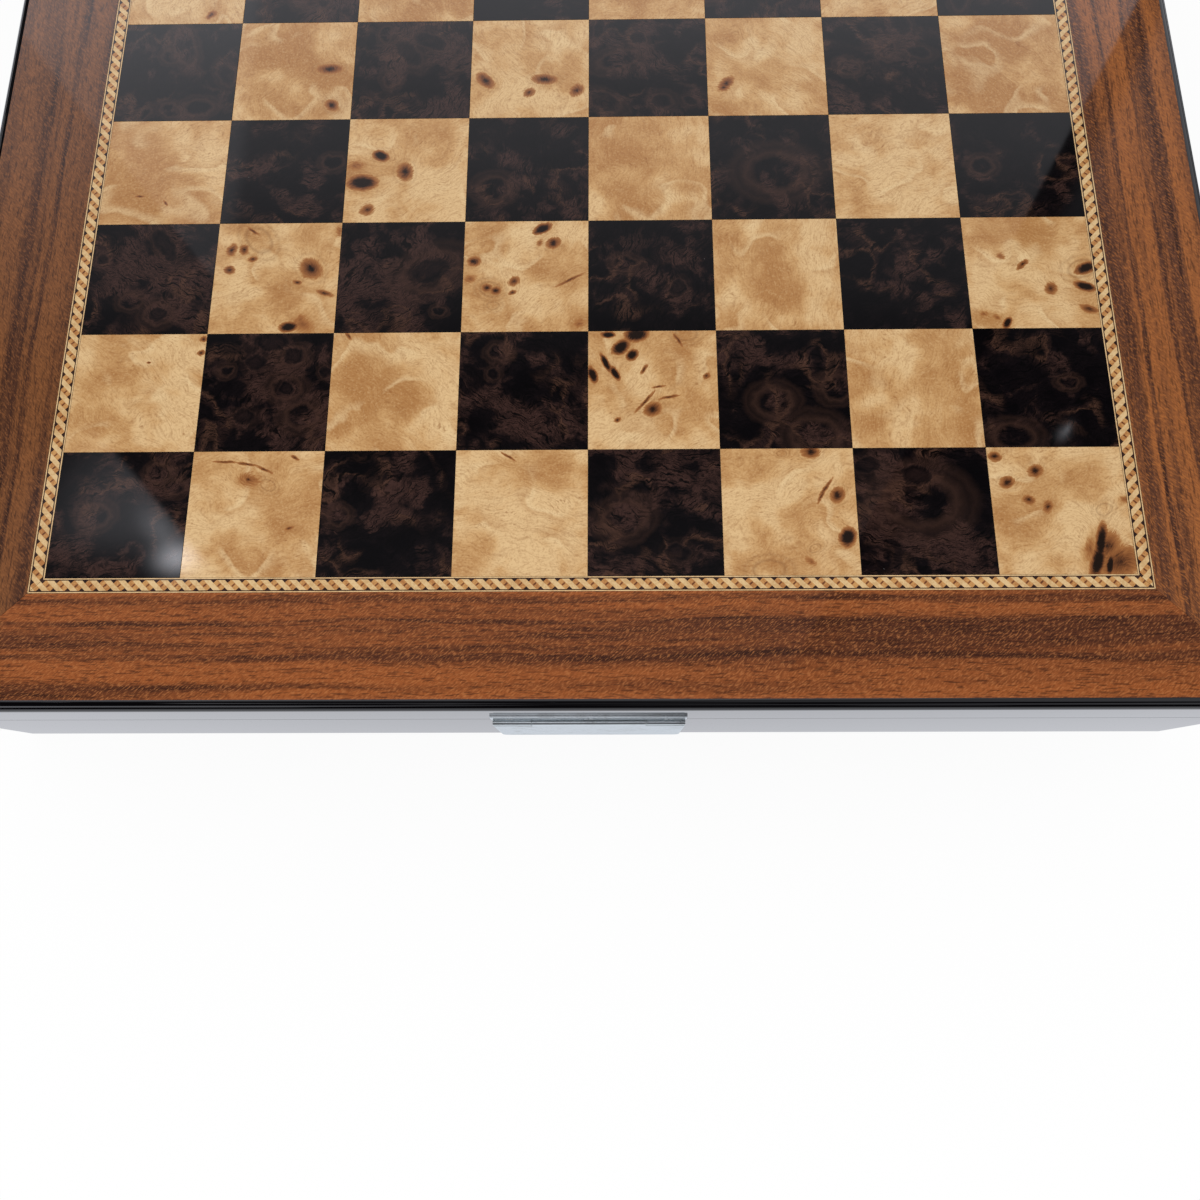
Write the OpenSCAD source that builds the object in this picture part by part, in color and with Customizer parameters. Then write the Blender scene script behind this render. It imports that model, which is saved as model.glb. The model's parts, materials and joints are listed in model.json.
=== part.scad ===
// Chess box with a hinged lid. The lid's top is a veneered chess board, the base is a lined
// box in two compartments, and a clasp at the front holds the two together.
// Millimetres. Origin in the middle of the underside, +Z up, clasp at -Y, hinges at +Y.

/* [Board] */
// Side of one playing square
square_size = 45; // [38:1:55]
// Width of the patterned inlay band round the squares
inlay_w = 5.1; // [3.5:0.1:8]
// Width of the walnut border outside the band
border_w = 35.6; // [25:1:60]
// Thickness of every veneer on the lid
veneer_t = 0.6; // [0.4:0.1:1.2]
// Glue line left between two veneers
veneer_joint = 0.1; // [0.05:0.05:0.3]

/* [Lid] */
// Height of the lid's frame
lid_h = 23; // [18:1:40]
// Thickness of the lid's rails
rail_t = 12; // [10.5:0.5:18]
// Width of the bare lacquered rim outside the walnut border
rim_w = 3.5; // [3:0.1:5]
// Radius of the rim's outer edge
rim_r = 2.8; // [1:0.1:3]
// Ledge inside the rim that carries the border's edge
ledge_w = 2.5; // [1:0.5:3.5]
// Thickness of the core panel under the veneers
core_t = 6; // [4:0.5:10]
// Thickness of the felt under the core panel
lid_lining_t = 1.2; // [0.6:0.1:2.5]

/* [Base] */
// Height of the base's walls
wall_h = 43.6; // [30:0.2:90]
// Thickness of the base's walls
wall_t = 12; // [10:0.5:18]
// Radius of the four upright edges of the box
corner_r = 2.5; // [1:0.5:4]
// Thickness of the floor panel
floor_t = 4; // [3:0.5:8]
// How far the floor panel sits into the walls
floor_seat = 6; // [3:0.5:8]
// Gap round a panel's edge in its rebate
panel_fit = 0.2; // [0.1:0.1:0.5]
// Gap between the closed lid and the base
lid_gap = 0.4; // [0.2:0.1:0.6]

/* [Felt and divider] */
// Thickness of the felt under the box
felt_t = 1; // [0.6:0.1:2]
// How far the felt stays back from the box's sides
felt_inset = 5; // [3:0.5:10]
// Thickness of the felt on the floor
floor_lining_t = 1.5; // [0.8:0.1:3]
// Thickness of the felt on the walls
wall_lining_t = 1.2; // [0.6:0.1:2.5]
// How far the wall felt stops below the rim
lining_drop = 1; // [0.5:0.5:5]
// Gap between two pieces of felt
lining_gap = 0.3; // [0.2:0.1:0.6]
// Thickness of the divider's board
divider_t = 6; // [4:0.5:12]
// Height of the divider's board above the floor
divider_h = 29; // [15:1:30]
// Thickness of the felt folded over the divider
cover_t = 1; // [0.6:0.1:2]

/* [Hinges] */
// Length of a hinge
hinge_len = 46; // [36:1:80]
// Distance from the end of the box's back to the middle of a hinge
hinge_inset = 89.2; // [50:0.2:140]
// Depth of a leaf in the wall's edge
leaf_w = 9; // [6:0.5:9.5]
// Thickness of a leaf
leaf_t = 1; // [0.8:0.1:1.2]
// Radius of the hinge's barrel
barrel_r = 1.5; // [1.4:0.1:2.5]
// Radius of the hinge's pin
pin_r = 0.7; // [0.5:0.1:0.9]
// Angle at which the hinge's heel stops the lid
open_deg = 95; // [90:1:110]
// Height of the stop heel below the pin when the lid is open
heel_len = 2.2; // [1.8:0.1:3]
// How far the stop heel's face lies inside the barrel's
heel_set = 0.1; // [0.05:0.05:0.3]

/* [Clasp] */
// Width of the clasp
clasp_w = 66; // [40:1:90]
// Height of the clasp's leaf on the lid
clasp_leaf_h = 9.5; // [8:0.5:14]
// Thickness of the clasp's leaf
clasp_leaf_t = 0.8; // [0.7:0.1:1]
// Radius of the clasp's barrel
clasp_barrel_r = 1.1; // [1:0.1:1.5]
// Radius of the clasp's pin
clasp_pin_r = 0.5; // [0.3:0.1:0.6]
// Length of the flap below the pin
flap_len = 30; // [26:1:35]
// Thickness of the flap
flap_t = 1; // [0.8:0.1:1]
// Radius of the flap's lower corners
flap_corner_r = 2.5; // [1:0.5:6]
// Width of the keeper plate behind the flap
keeper_w = 34; // [24:1:38]
// Height of the keeper plate
keeper_h = 11; // [9:0.5:14]
// Thickness of the keeper plate
keeper_t = 1; // [0.8:0.1:1.5]
// How far the keeper plate stands out of the wall
keeper_proud = 0.2; // [0.1:0.1:0.3]
// Radius of the beads that catch each other
bead_r = 0.4; // [0.2:0.05:0.4]
// Depth of the catch below the clasp's pin
catch_drop = 22; // [18:0.5:23]

/* [Screws] */
// Radius of a screw's head
head_r = 1.6; // [1.4:0.1:2]
// Height of a screw's countersunk head
head_h = 0.7; // [0.5:0.1:0.7]
// Radius of a screw's shank
shank_r = 0.9; // [0.7:0.1:1.1]
// Length of a screw
screw_len = 7; // [5:0.5:8]
// Distance from a clasp's end to its outer screw
screw_end = 6; // [4:0.5:9]

/* [Clearances] */
// Radial gap between a pin and its knuckle
pin_fit = 0.05; // [0.02:0.01:0.1]
// Gap between two knuckles along the pin
knuckle_gap = 0.2; // [0.1:0.1:0.5]
// Gap between a barrel and the side of the box
barrel_gap = 0.1; // [0.1:0.05:0.3]
// Gap between a barrel and the edge of the other leaf
edge_gap = 0.2; // [0.1:0.1:0.4]
// Gap round a leaf or plate in its pocket
pocket_fit = 0.2; // [0.1:0.1:0.4]
// Gap round a screw in its hole
screw_fit = 0.05; // [0.02:0.01:0.1]

/* [Hidden] */
$fn = 64;

RANKS = 8;             // squares along one side of the board
FRONT_DEG = 0;         // angle of each side of the box from the front side
RIGHT_DEG = 90;
BACK_DEG = 180;
LEFT_DEG = 270;
CUT = 1;               // how far a cutting solid runs past the face it cuts
SCREW_EXTRA = 0.3;     // depth of a screw's hole beyond its tip
SLOT_W = 0.45;         // width of the cross in a screw's head
SLOT_DEPTH = 0.35;     // depth of that cross

board_half = RANKS * square_size / 2;
inlay_half = board_half + inlay_w;
border_half = inlay_half + border_w;
box_half = border_half + rim_w;
core_half = border_half - ledge_w;
wall_inner = box_half - wall_t;
rail_inner = box_half - rail_t;

wall_z = felt_t;
floor_z = wall_z + floor_t;
base_top = wall_z + wall_h;
lid_z = base_top + lid_gap;
lid_top = lid_z + lid_h;
veneer_z = lid_top - veneer_t;
core_z = veneer_z - core_t;
pin_z = base_top + lid_gap / 2;

lined_half = wall_inner - wall_lining_t;
divider_half = divider_t / 2 + cover_t;
lining_top = base_top - lining_drop;

hinge_x = box_half - hinge_inset;
hinge_y = box_half + barrel_gap + barrel_r;
leaf_mid_y = box_half - leaf_w / 2;
hinge_screw_step = hinge_len / 3;
hinge_side_knuckle = (hinge_len - 2 * knuckle_gap) / 3;

clasp_y = -(box_half + barrel_gap + clasp_barrel_r);
clasp_edge = clasp_barrel_r + edge_gap;
clasp_side_knuckle = clasp_w / 5;
clasp_top = lid_z + clasp_leaf_h;
clasp_screw_z = (pin_z + clasp_edge + clasp_top) / 2;
clasp_screw_x = clasp_w / 2 - screw_end;
flap_front = clasp_y - clasp_barrel_r;
flap_back = flap_front + flap_t;
flap_bottom = pin_z - flap_len;
keeper_face = -(box_half + keeper_proud);
keeper_bead_z = pin_z - catch_drop;
flap_bead_z = keeper_bead_z - 2 * bead_r;
keeper_bottom = keeper_bead_z - keeper_h / 3;
keeper_screw_z = keeper_bottom + keeper_h - head_r - 2 * bead_r;
keeper_screw_x = keeper_w / 2 - screw_end;

walnut = "saddlebrown";
lacquer = "black";
felt = "darkgreen";
metal = "silver";

// Turns a piece that is drawn on the front side to another side of the box.
module on_side(side_deg) {
    rotate([0, 0, side_deg]) children();
}

// A bar along the front side with mitred ends, from one distance of the centre to another.
module mitred_bar(outer, inner, z, h, joint = 0) {
    mitre = joint / sqrt(2);
    near = outer - joint / 2;
    far = inner + joint / 2;
    translate([0, 0, z])
        linear_extrude(h)
            polygon([
                [-near + mitre, -near], [near - mitre, -near],
                [far - mitre, -far], [-far + mitre, -far]
            ]);
}

// What is taken off the two upright edges at the ends of the front side.
module upright_rounding(z, h) {
    for (end = [-1, 1])
        translate([end * (box_half - corner_r), -(box_half - corner_r), z - CUT])
            difference() {
                translate([end * (corner_r + CUT) / 2, -(corner_r + CUT) / 2, (h + 2 * CUT) / 2])
                    cube([corner_r + CUT, corner_r + CUT, h + 2 * CUT], center = true);
                cylinder(r = corner_r, h = h + 2 * CUT);
            }
}

// What is taken off the rim's outer edge along the front side.
module rim_rounding() {
    length = 2 * box_half + 2 * CUT;
    translate([-length / 2, -(box_half - rim_r), lid_top - rim_r])
        difference() {
            translate([0, -(rim_r + CUT), 0]) cube([length, rim_r + CUT, rim_r + CUT]);
            rotate([0, 90, 0]) cylinder(r = rim_r, h = length);
        }
}

// One wall of the base, with the rebate that takes the floor panel.
module base_wall() {
    difference() {
        mitred_bar(box_half, wall_inner, wall_z, wall_h);
        mitred_bar(wall_inner + floor_seat, wall_inner - CUT, wall_z - CUT, floor_t + CUT);
        upright_rounding(wall_z, wall_h);
    }
}

// One rail of the lid: the rim, the ledge for the veneer and the seat of the core panel.
module lid_rail() {
    difference() {
        mitred_bar(box_half, rail_inner, lid_z, lid_h);
        mitred_bar(border_half, rail_inner - CUT, veneer_z, veneer_t + CUT);
        mitred_bar(core_half, rail_inner - CUT, core_z, core_t + CUT);
        upright_rounding(lid_z, lid_h);
        rim_rounding();
    }
}

// A countersunk screw with the middle of its head's face at the origin, driven towards -Z.
module screw_body(gap, extra) {
    translate([0, 0, -head_h]) cylinder(r1 = shank_r + gap, r2 = head_r + gap, h = head_h);
    translate([0, 0, -screw_len - extra])
        cylinder(r = shank_r + gap, h = screw_len + extra - head_h + CUT / 100);
}

module screw() {
    difference() {
        screw_body(0, 0);
        for (turn = [0, 90])
            rotate([0, 0, turn])
                translate([0, 0, CUT / 2 - SLOT_DEPTH])
                    cube([1.4 * head_r, SLOT_W, CUT], center = true);
    }
}

// The hole that such a screw needs, open a little above the face.
module screw_hole() {
    screw_body(screw_fit, SCREW_EXTRA);
    cylinder(r = head_r + screw_fit, h = CUT);
}

// Puts its children at every hinge screw, on the base's leaves or turned over on the lid's.
module at_hinge_screws(on_lid) {
    for (hinge = [-1, 1])
        for (step = [-1, 0, 1])
            translate([hinge * hinge_x + step * hinge_screw_step, leaf_mid_y, on_lid ? lid_z : base_top])
                mirror([0, 0, on_lid ? 1 : 0]) children();
}

module at_clasp_screws() {
    for (step = [-1, 0, 1])
        translate([step * clasp_screw_x, -(box_half + clasp_leaf_t), clasp_screw_z])
            rotate([90, 0, 0]) children();
}

module at_keeper_screws() {
    for (step = [-1, 1])
        translate([step * keeper_screw_x, keeper_face, keeper_screw_z])
            rotate([90, 0, 0]) children();
}

// The pockets for both hinges' leaves, cut up or down from the edge of a back wall.
module hinge_pockets(z) {
    for (hinge = [-1, 1])
        translate([
            hinge * hinge_x - hinge_len / 2 - pocket_fit,
            box_half - leaf_w - pocket_fit, z
        ])
            cube([hinge_len + 2 * pocket_fit, leaf_w + pocket_fit + CUT, leaf_t + CUT]);
}

// A bar along X, round a pin that lies at y and z.
module along_pin(x, length, y, z, r) {
    translate([x, y, z]) rotate([0, 90, 0]) cylinder(r = r, h = length);
}

// The heel below a knuckle of the given length, as it stands when the lid is open: it starts
// in the middle of the knuckle's wall and ends a little short of the box's back.
module stop_heel(length) {
    root = (pin_r + pin_fit + barrel_r) / 2;
    translate([knuckle_gap, heel_set - barrel_r, -heel_len])
        cube([length - 2 * knuckle_gap, barrel_r - heel_set, heel_len - root]);
}

// One leaf of the hinge at the given side of the box. Each span is a knuckle's start and length.
module hinge_leaf(hinge, z, spans, with_heel) {
    reach = hinge_y - box_half;
    difference() {
        translate([hinge * hinge_x, 0, 0])
            difference() {
                union() {
                    translate([-hinge_len / 2, box_half - leaf_w, z]) cube([hinge_len, leaf_w, leaf_t]);
                    for (span = spans) {
                        translate([span[0], box_half - leaf_w / 2, z])
                            cube([span[1], leaf_w / 2 + reach, leaf_t]);
                        along_pin(span[0], span[1], hinge_y, pin_z, barrel_r);
                        if (with_heel)
                            translate([span[0], hinge_y, pin_z])
                                rotate([open_deg, 0, 0]) stop_heel(span[1]);
                    }
                }
                along_pin(-hinge_len, 2 * hinge_len, hinge_y, pin_z, pin_r + pin_fit);
            }
        at_hinge_screws(with_heel) screw_hole();
    }
}

module hinge_base_leaf(hinge) {
    hinge_leaf(
        hinge, base_top - leaf_t,
        [[-hinge_len / 2, hinge_side_knuckle], [hinge_len / 2 - hinge_side_knuckle, hinge_side_knuckle]],
        false
    );
}

module hinge_lid_leaf(hinge) {
    hinge_leaf(hinge, lid_z, [[-hinge_side_knuckle / 2, hinge_side_knuckle]], true);
}

module hinge_pin(hinge) {
    along_pin(hinge * hinge_x - hinge_len / 2, hinge_len, hinge_y, pin_z, pin_r);
}

// A flat plate in the clasp's plane with its two lower corners rounded.
module flap_outline(w, h, r) {
    translate([-w / 2, r]) square([w, h - r]);
    translate([-w / 2 + r, 0]) square([w - 2 * r, h]);
    for (end = [-1, 1])
        translate([end * (w / 2 - r), r]) circle(r = r);
}

// One sheet of felt on the front wall. The pair between the others is shorter at both ends.
module wall_lining(between) {
    half = between ? lined_half - lining_gap : wall_inner - lining_gap;
    translate([-half, -wall_inner, floor_z])
        cube([2 * half, wall_lining_t, lining_top - floor_z]);
}

// The felt on the floor of one compartment, -1 for the left and 1 for the right.
module floor_lining(side) {
    near = divider_half + lining_gap;
    far = lined_half - lining_gap;
    translate([side > 0 ? near : -far, -far, floor_z])
        cube([far - near, 2 * far, floor_lining_t]);
}

// The squares whose column and row add up to an odd or to an even number.
module squares(parity) {
    cut = square_size - veneer_joint;
    for (column = [0 : RANKS - 1])
        for (row = [0 : RANKS - 1])
            if ((column + row) % 2 == parity)
                translate([
                    column * square_size - board_half + veneer_joint / 2,
                    row * square_size - board_half + veneer_joint / 2, veneer_z
                ])
                    cube([cut, cut, veneer_t]);
}

module inlay(side_deg) {
    color("burlywood")
        on_side(side_deg) mitred_bar(inlay_half, board_half, veneer_z, veneer_t, veneer_joint);
}

module border(side_deg) {
    color(walnut)
        on_side(side_deg) mitred_bar(border_half, inlay_half, veneer_z, veneer_t, veneer_joint);
}

// Base

module base_front_wall() {
    color(lacquer)
        difference() {
            on_side(FRONT_DEG) base_wall();
            translate([
                -keeper_w / 2 - pocket_fit, keeper_face - CUT, keeper_bottom - pocket_fit
            ])
                cube([keeper_w + 2 * pocket_fit, keeper_t + CUT, keeper_h + 2 * pocket_fit]);
            at_keeper_screws() screw_hole();
        }
}

module base_right_wall() {
    color(lacquer) on_side(RIGHT_DEG) base_wall();
}

module base_back_wall() {
    color(lacquer)
        difference() {
            on_side(BACK_DEG) base_wall();
            hinge_pockets(base_top - leaf_t);
            at_hinge_screws(false) screw_hole();
        }
}

module base_left_wall() {
    color(lacquer) on_side(LEFT_DEG) base_wall();
}

module base_floor_panel() {
    half = wall_inner + floor_seat - panel_fit;
    color("peru")
        translate([-half, -half, wall_z]) cube([2 * half, 2 * half, floor_t]);
}

module base_felt() {
    half = box_half - felt_inset;
    color(felt)
        translate([-half, -half, 0]) cube([2 * half, 2 * half, felt_t]);
}

module centre_divider() {
    half = lined_half - lining_gap;
    color("peru")
        translate([-divider_t / 2, -half, floor_z]) cube([divider_t, 2 * half, divider_h]);
}

// The felt folded over the divider's board.
module divider_cover() {
    half = lined_half - lining_gap;
    color(felt)
        difference() {
            translate([-divider_half, -half, floor_z])
                cube([2 * divider_half, 2 * half, divider_h + cover_t]);
            translate([-divider_t / 2, -half - CUT, floor_z - CUT])
                cube([divider_t, 2 * half + 2 * CUT, divider_h + CUT]);
        }
}

module floor_lining_left() {
    color(felt) floor_lining(-1);
}

module floor_lining_right() {
    color(felt) floor_lining(1);
}

module wall_lining_front() {
    color(felt) on_side(FRONT_DEG) wall_lining(false);
}

module wall_lining_right() {
    color(felt) on_side(RIGHT_DEG) wall_lining(true);
}

module wall_lining_back() {
    color(felt) on_side(BACK_DEG) wall_lining(false);
}

module wall_lining_left() {
    color(felt) on_side(LEFT_DEG) wall_lining(true);
}

module hinge_left_base_leaf() {
    color(metal) hinge_base_leaf(-1);
}

module hinge_right_base_leaf() {
    color(metal) hinge_base_leaf(1);
}

module hinge_left_pin() {
    color(metal) hinge_pin(-1);
}

module hinge_right_pin() {
    color(metal) hinge_pin(1);
}

module hinge_base_screws() {
    color(metal) at_hinge_screws(false) screw();
}

// The plate let into the front wall behind the flap, with the bead that the flap snaps over.
module keeper_plate() {
    color(metal)
        difference() {
            union() {
                translate([-keeper_w / 2, keeper_face, keeper_bottom])
                    cube([keeper_w, keeper_t, keeper_h]);
                along_pin(-keeper_w / 2, keeper_w, keeper_face, keeper_bead_z, bead_r);
            }
            at_keeper_screws() screw_hole();
        }
}

module keeper_screws() {
    color(metal) at_keeper_screws() screw();
}

// Lid

module lid_front_rail() {
    color(lacquer)
        difference() {
            on_side(FRONT_DEG) lid_rail();
            at_clasp_screws() screw_hole();
        }
}

module lid_right_rail() {
    color(lacquer) on_side(RIGHT_DEG) lid_rail();
}

module lid_back_rail() {
    color(lacquer)
        difference() {
            on_side(BACK_DEG) lid_rail();
            hinge_pockets(lid_z - CUT);
            at_hinge_screws(true) screw_hole();
        }
}

module lid_left_rail() {
    color(lacquer) on_side(LEFT_DEG) lid_rail();
}

module lid_core_panel() {
    half = core_half - panel_fit;
    color("peru")
        translate([-half, -half, core_z]) cube([2 * half, 2 * half, core_t]);
}

module light_squares() {
    color("burlywood") squares(1);
}

module dark_squares() {
    color([0.16, 0.1, 0.07]) squares(0);
}

module inlay_front() {
    inlay(FRONT_DEG);
}

module inlay_right() {
    inlay(RIGHT_DEG);
}

module inlay_back() {
    inlay(BACK_DEG);
}

module inlay_left() {
    inlay(LEFT_DEG);
}

module border_front() {
    border(FRONT_DEG);
}

module border_right() {
    border(RIGHT_DEG);
}

module border_back() {
    border(BACK_DEG);
}

module border_left() {
    border(LEFT_DEG);
}

module lid_lining() {
    half = rail_inner - lining_gap;
    color(felt)
        translate([-half, -half, core_z - lid_lining_t]) cube([2 * half, 2 * half, lid_lining_t]);
}

module hinge_left_lid_leaf() {
    color(metal) hinge_lid_leaf(-1);
}

module hinge_right_lid_leaf() {
    color(metal) hinge_lid_leaf(1);
}

module hinge_lid_screws() {
    color(metal) at_hinge_screws(true) screw();
}

// The leaf on the lid's front, with a knuckle at each end of the barrel.
module clasp_leaf() {
    color(metal)
        difference() {
            union() {
                translate([-clasp_w / 2, -(box_half + clasp_leaf_t), pin_z + clasp_edge])
                    cube([clasp_w, clasp_leaf_t, clasp_top - pin_z - clasp_edge]);
                for (x = [-clasp_w / 2, clasp_w / 2 - clasp_side_knuckle]) {
                    along_pin(x, clasp_side_knuckle, clasp_y, pin_z, clasp_barrel_r);
                    translate([x, -(box_half + clasp_leaf_t), pin_z])
                        cube([clasp_side_knuckle, clasp_leaf_t - barrel_gap, 2 * clasp_edge]);
                }
            }
            along_pin(-clasp_w, 2 * clasp_w, clasp_y, pin_z, clasp_pin_r + pin_fit);
            at_clasp_screws() screw_hole();
        }
}

module clasp_pin() {
    color(metal) along_pin(-clasp_w / 2, clasp_w, clasp_y, pin_z, clasp_pin_r);
}

module clasp_screws() {
    color(metal) at_clasp_screws() screw();
}

// The flap: a plate that hangs from the middle knuckle over the keeper, with a bead behind it.
module clasp_flap() {
    knuckle = clasp_w - 2 * clasp_side_knuckle - 2 * knuckle_gap;
    color(metal)
        difference() {
            union() {
                translate([0, flap_back, flap_bottom])
                    rotate([90, 0, 0])
                        linear_extrude(flap_t)
                            flap_outline(clasp_w, flap_len - clasp_edge, flap_corner_r);
                translate([-knuckle / 2, flap_front, pin_z - 2 * clasp_edge])
                    cube([knuckle, flap_t, 2 * clasp_edge]);
                along_pin(-knuckle / 2, knuckle, clasp_y, pin_z, clasp_barrel_r);
                along_pin(-keeper_w / 2, keeper_w, flap_back, flap_bead_z, bead_r);
            }
            along_pin(-clasp_w, 2 * clasp_w, clasp_y, pin_z, clasp_pin_r + pin_fit);
        }
}

base_front_wall();
base_right_wall();
base_back_wall();
base_left_wall();
base_floor_panel();
base_felt();
centre_divider();
divider_cover();
floor_lining_left();
floor_lining_right();
wall_lining_front();
wall_lining_right();
wall_lining_back();
wall_lining_left();
hinge_left_base_leaf();
hinge_right_base_leaf();
hinge_left_pin();
hinge_right_pin();
hinge_base_screws();
keeper_plate();
keeper_screws();
lid_front_rail();
lid_right_rail();
lid_back_rail();
lid_left_rail();
lid_core_panel();
light_squares();
dark_squares();
inlay_front();
inlay_right();
inlay_back();
inlay_left();
border_front();
border_right();
border_back();
border_left();
lid_lining();
hinge_left_lid_leaf();
hinge_right_lid_leaf();
hinge_lid_screws();
clasp_leaf();
clasp_pin();
clasp_screws();
clasp_flap();
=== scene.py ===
"""Looks of a chess box with a hinged lid: its finishes, its modelled pieces, the stage and the camera.

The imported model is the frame. Sizes are written in millimetres and become metres where they reach
Blender. The origin is the middle of the felt underside, +Z up, the clasp at -Y, the hinges at +Y.
"""

from __future__ import annotations

import json
import logging
import math
import random
from dataclasses import dataclass, field
from enum import Enum
from functools import cached_property
from typing import Callable, Iterable, Union

import bmesh
import bpy
from bpy.types import Material, Node, NodeSocket, NodeTree, Object
from mathutils import Matrix, Vector

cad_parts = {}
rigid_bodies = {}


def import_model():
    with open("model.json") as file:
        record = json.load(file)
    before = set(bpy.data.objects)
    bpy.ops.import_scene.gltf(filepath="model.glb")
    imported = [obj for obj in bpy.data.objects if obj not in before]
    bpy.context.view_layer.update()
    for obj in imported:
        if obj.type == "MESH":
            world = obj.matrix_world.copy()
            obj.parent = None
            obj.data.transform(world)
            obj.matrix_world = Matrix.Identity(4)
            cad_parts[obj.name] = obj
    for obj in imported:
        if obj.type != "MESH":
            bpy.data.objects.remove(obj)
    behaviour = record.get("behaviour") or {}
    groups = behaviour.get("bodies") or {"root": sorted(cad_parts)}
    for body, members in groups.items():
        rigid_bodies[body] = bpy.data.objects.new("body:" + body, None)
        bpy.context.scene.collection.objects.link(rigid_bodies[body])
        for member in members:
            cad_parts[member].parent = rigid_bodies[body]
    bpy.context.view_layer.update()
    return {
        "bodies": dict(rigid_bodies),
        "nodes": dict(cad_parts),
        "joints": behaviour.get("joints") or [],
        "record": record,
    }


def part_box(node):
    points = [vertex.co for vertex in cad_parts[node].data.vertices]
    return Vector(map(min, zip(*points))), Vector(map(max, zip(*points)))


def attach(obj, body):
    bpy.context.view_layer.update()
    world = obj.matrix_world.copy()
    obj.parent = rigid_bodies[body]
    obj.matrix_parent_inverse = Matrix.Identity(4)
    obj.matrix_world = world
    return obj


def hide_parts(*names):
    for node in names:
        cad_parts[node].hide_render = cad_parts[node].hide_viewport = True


LOG = logging.getLogger("chess_box")
MM = 0.001  # metres in a millimetre
PER_METRE = 1000.0  # millimetres in a metre, for the patterns, which count in millimetres
TOUCH = 1e-5  # metres within which two places count as one
WELD = 1e-6  # metres within which two corners of a mesh are joined
ACROSS, ALONG = 0.1, 0.9  # a direction's share along an axis when it is across it, and along it
BASE, LID, FLAP = "base", "lid", "flap"

Input = Union[float, tuple, NodeSocket]
Point = tuple[float, float, float]
Span = tuple[float, float]
Rise = tuple[float, float, float]  # where a change starts, where it ends, and what it adds


def tone(red: int, green: int, blue: int) -> tuple[float, float, float, float]:
    """Turns a colour as a screen shows it into the linear colour that a shader takes.

    Args:
        red: Red from 0 to 255.
        green: Green from 0 to 255.
        blue: Blue from 0 to 255.

    Returns:
        The linear colour with an alpha of 1.
    """
    linear = []
    for level in (red, green, blue):
        share = level / 255
        linear.append(share / 12.92 if share <= 0.04045 else ((share + 0.055) / 1.055) ** 2.4)
    return (*linear, 1.0)


class Side(Enum):
    """The four sides of the box, with their quarter turns from the front."""

    FRONT = 0
    RIGHT = 1
    BACK = 2
    LEFT = 3

    @property
    def label(self) -> str:
        """The side's name as the nodes spell it."""
        return self.name.lower()

    @property
    def turn(self) -> float:
        """The side's angle from the front, in radians."""
        return self.value * math.pi / 2

    @property
    def crosswise(self) -> bool:
        """Whether the side runs along Y."""
        return self in (Side.RIGHT, Side.LEFT)


# ---------------------------------------------------------------------------------------------
# Shader graphs
# ---------------------------------------------------------------------------------------------


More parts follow.
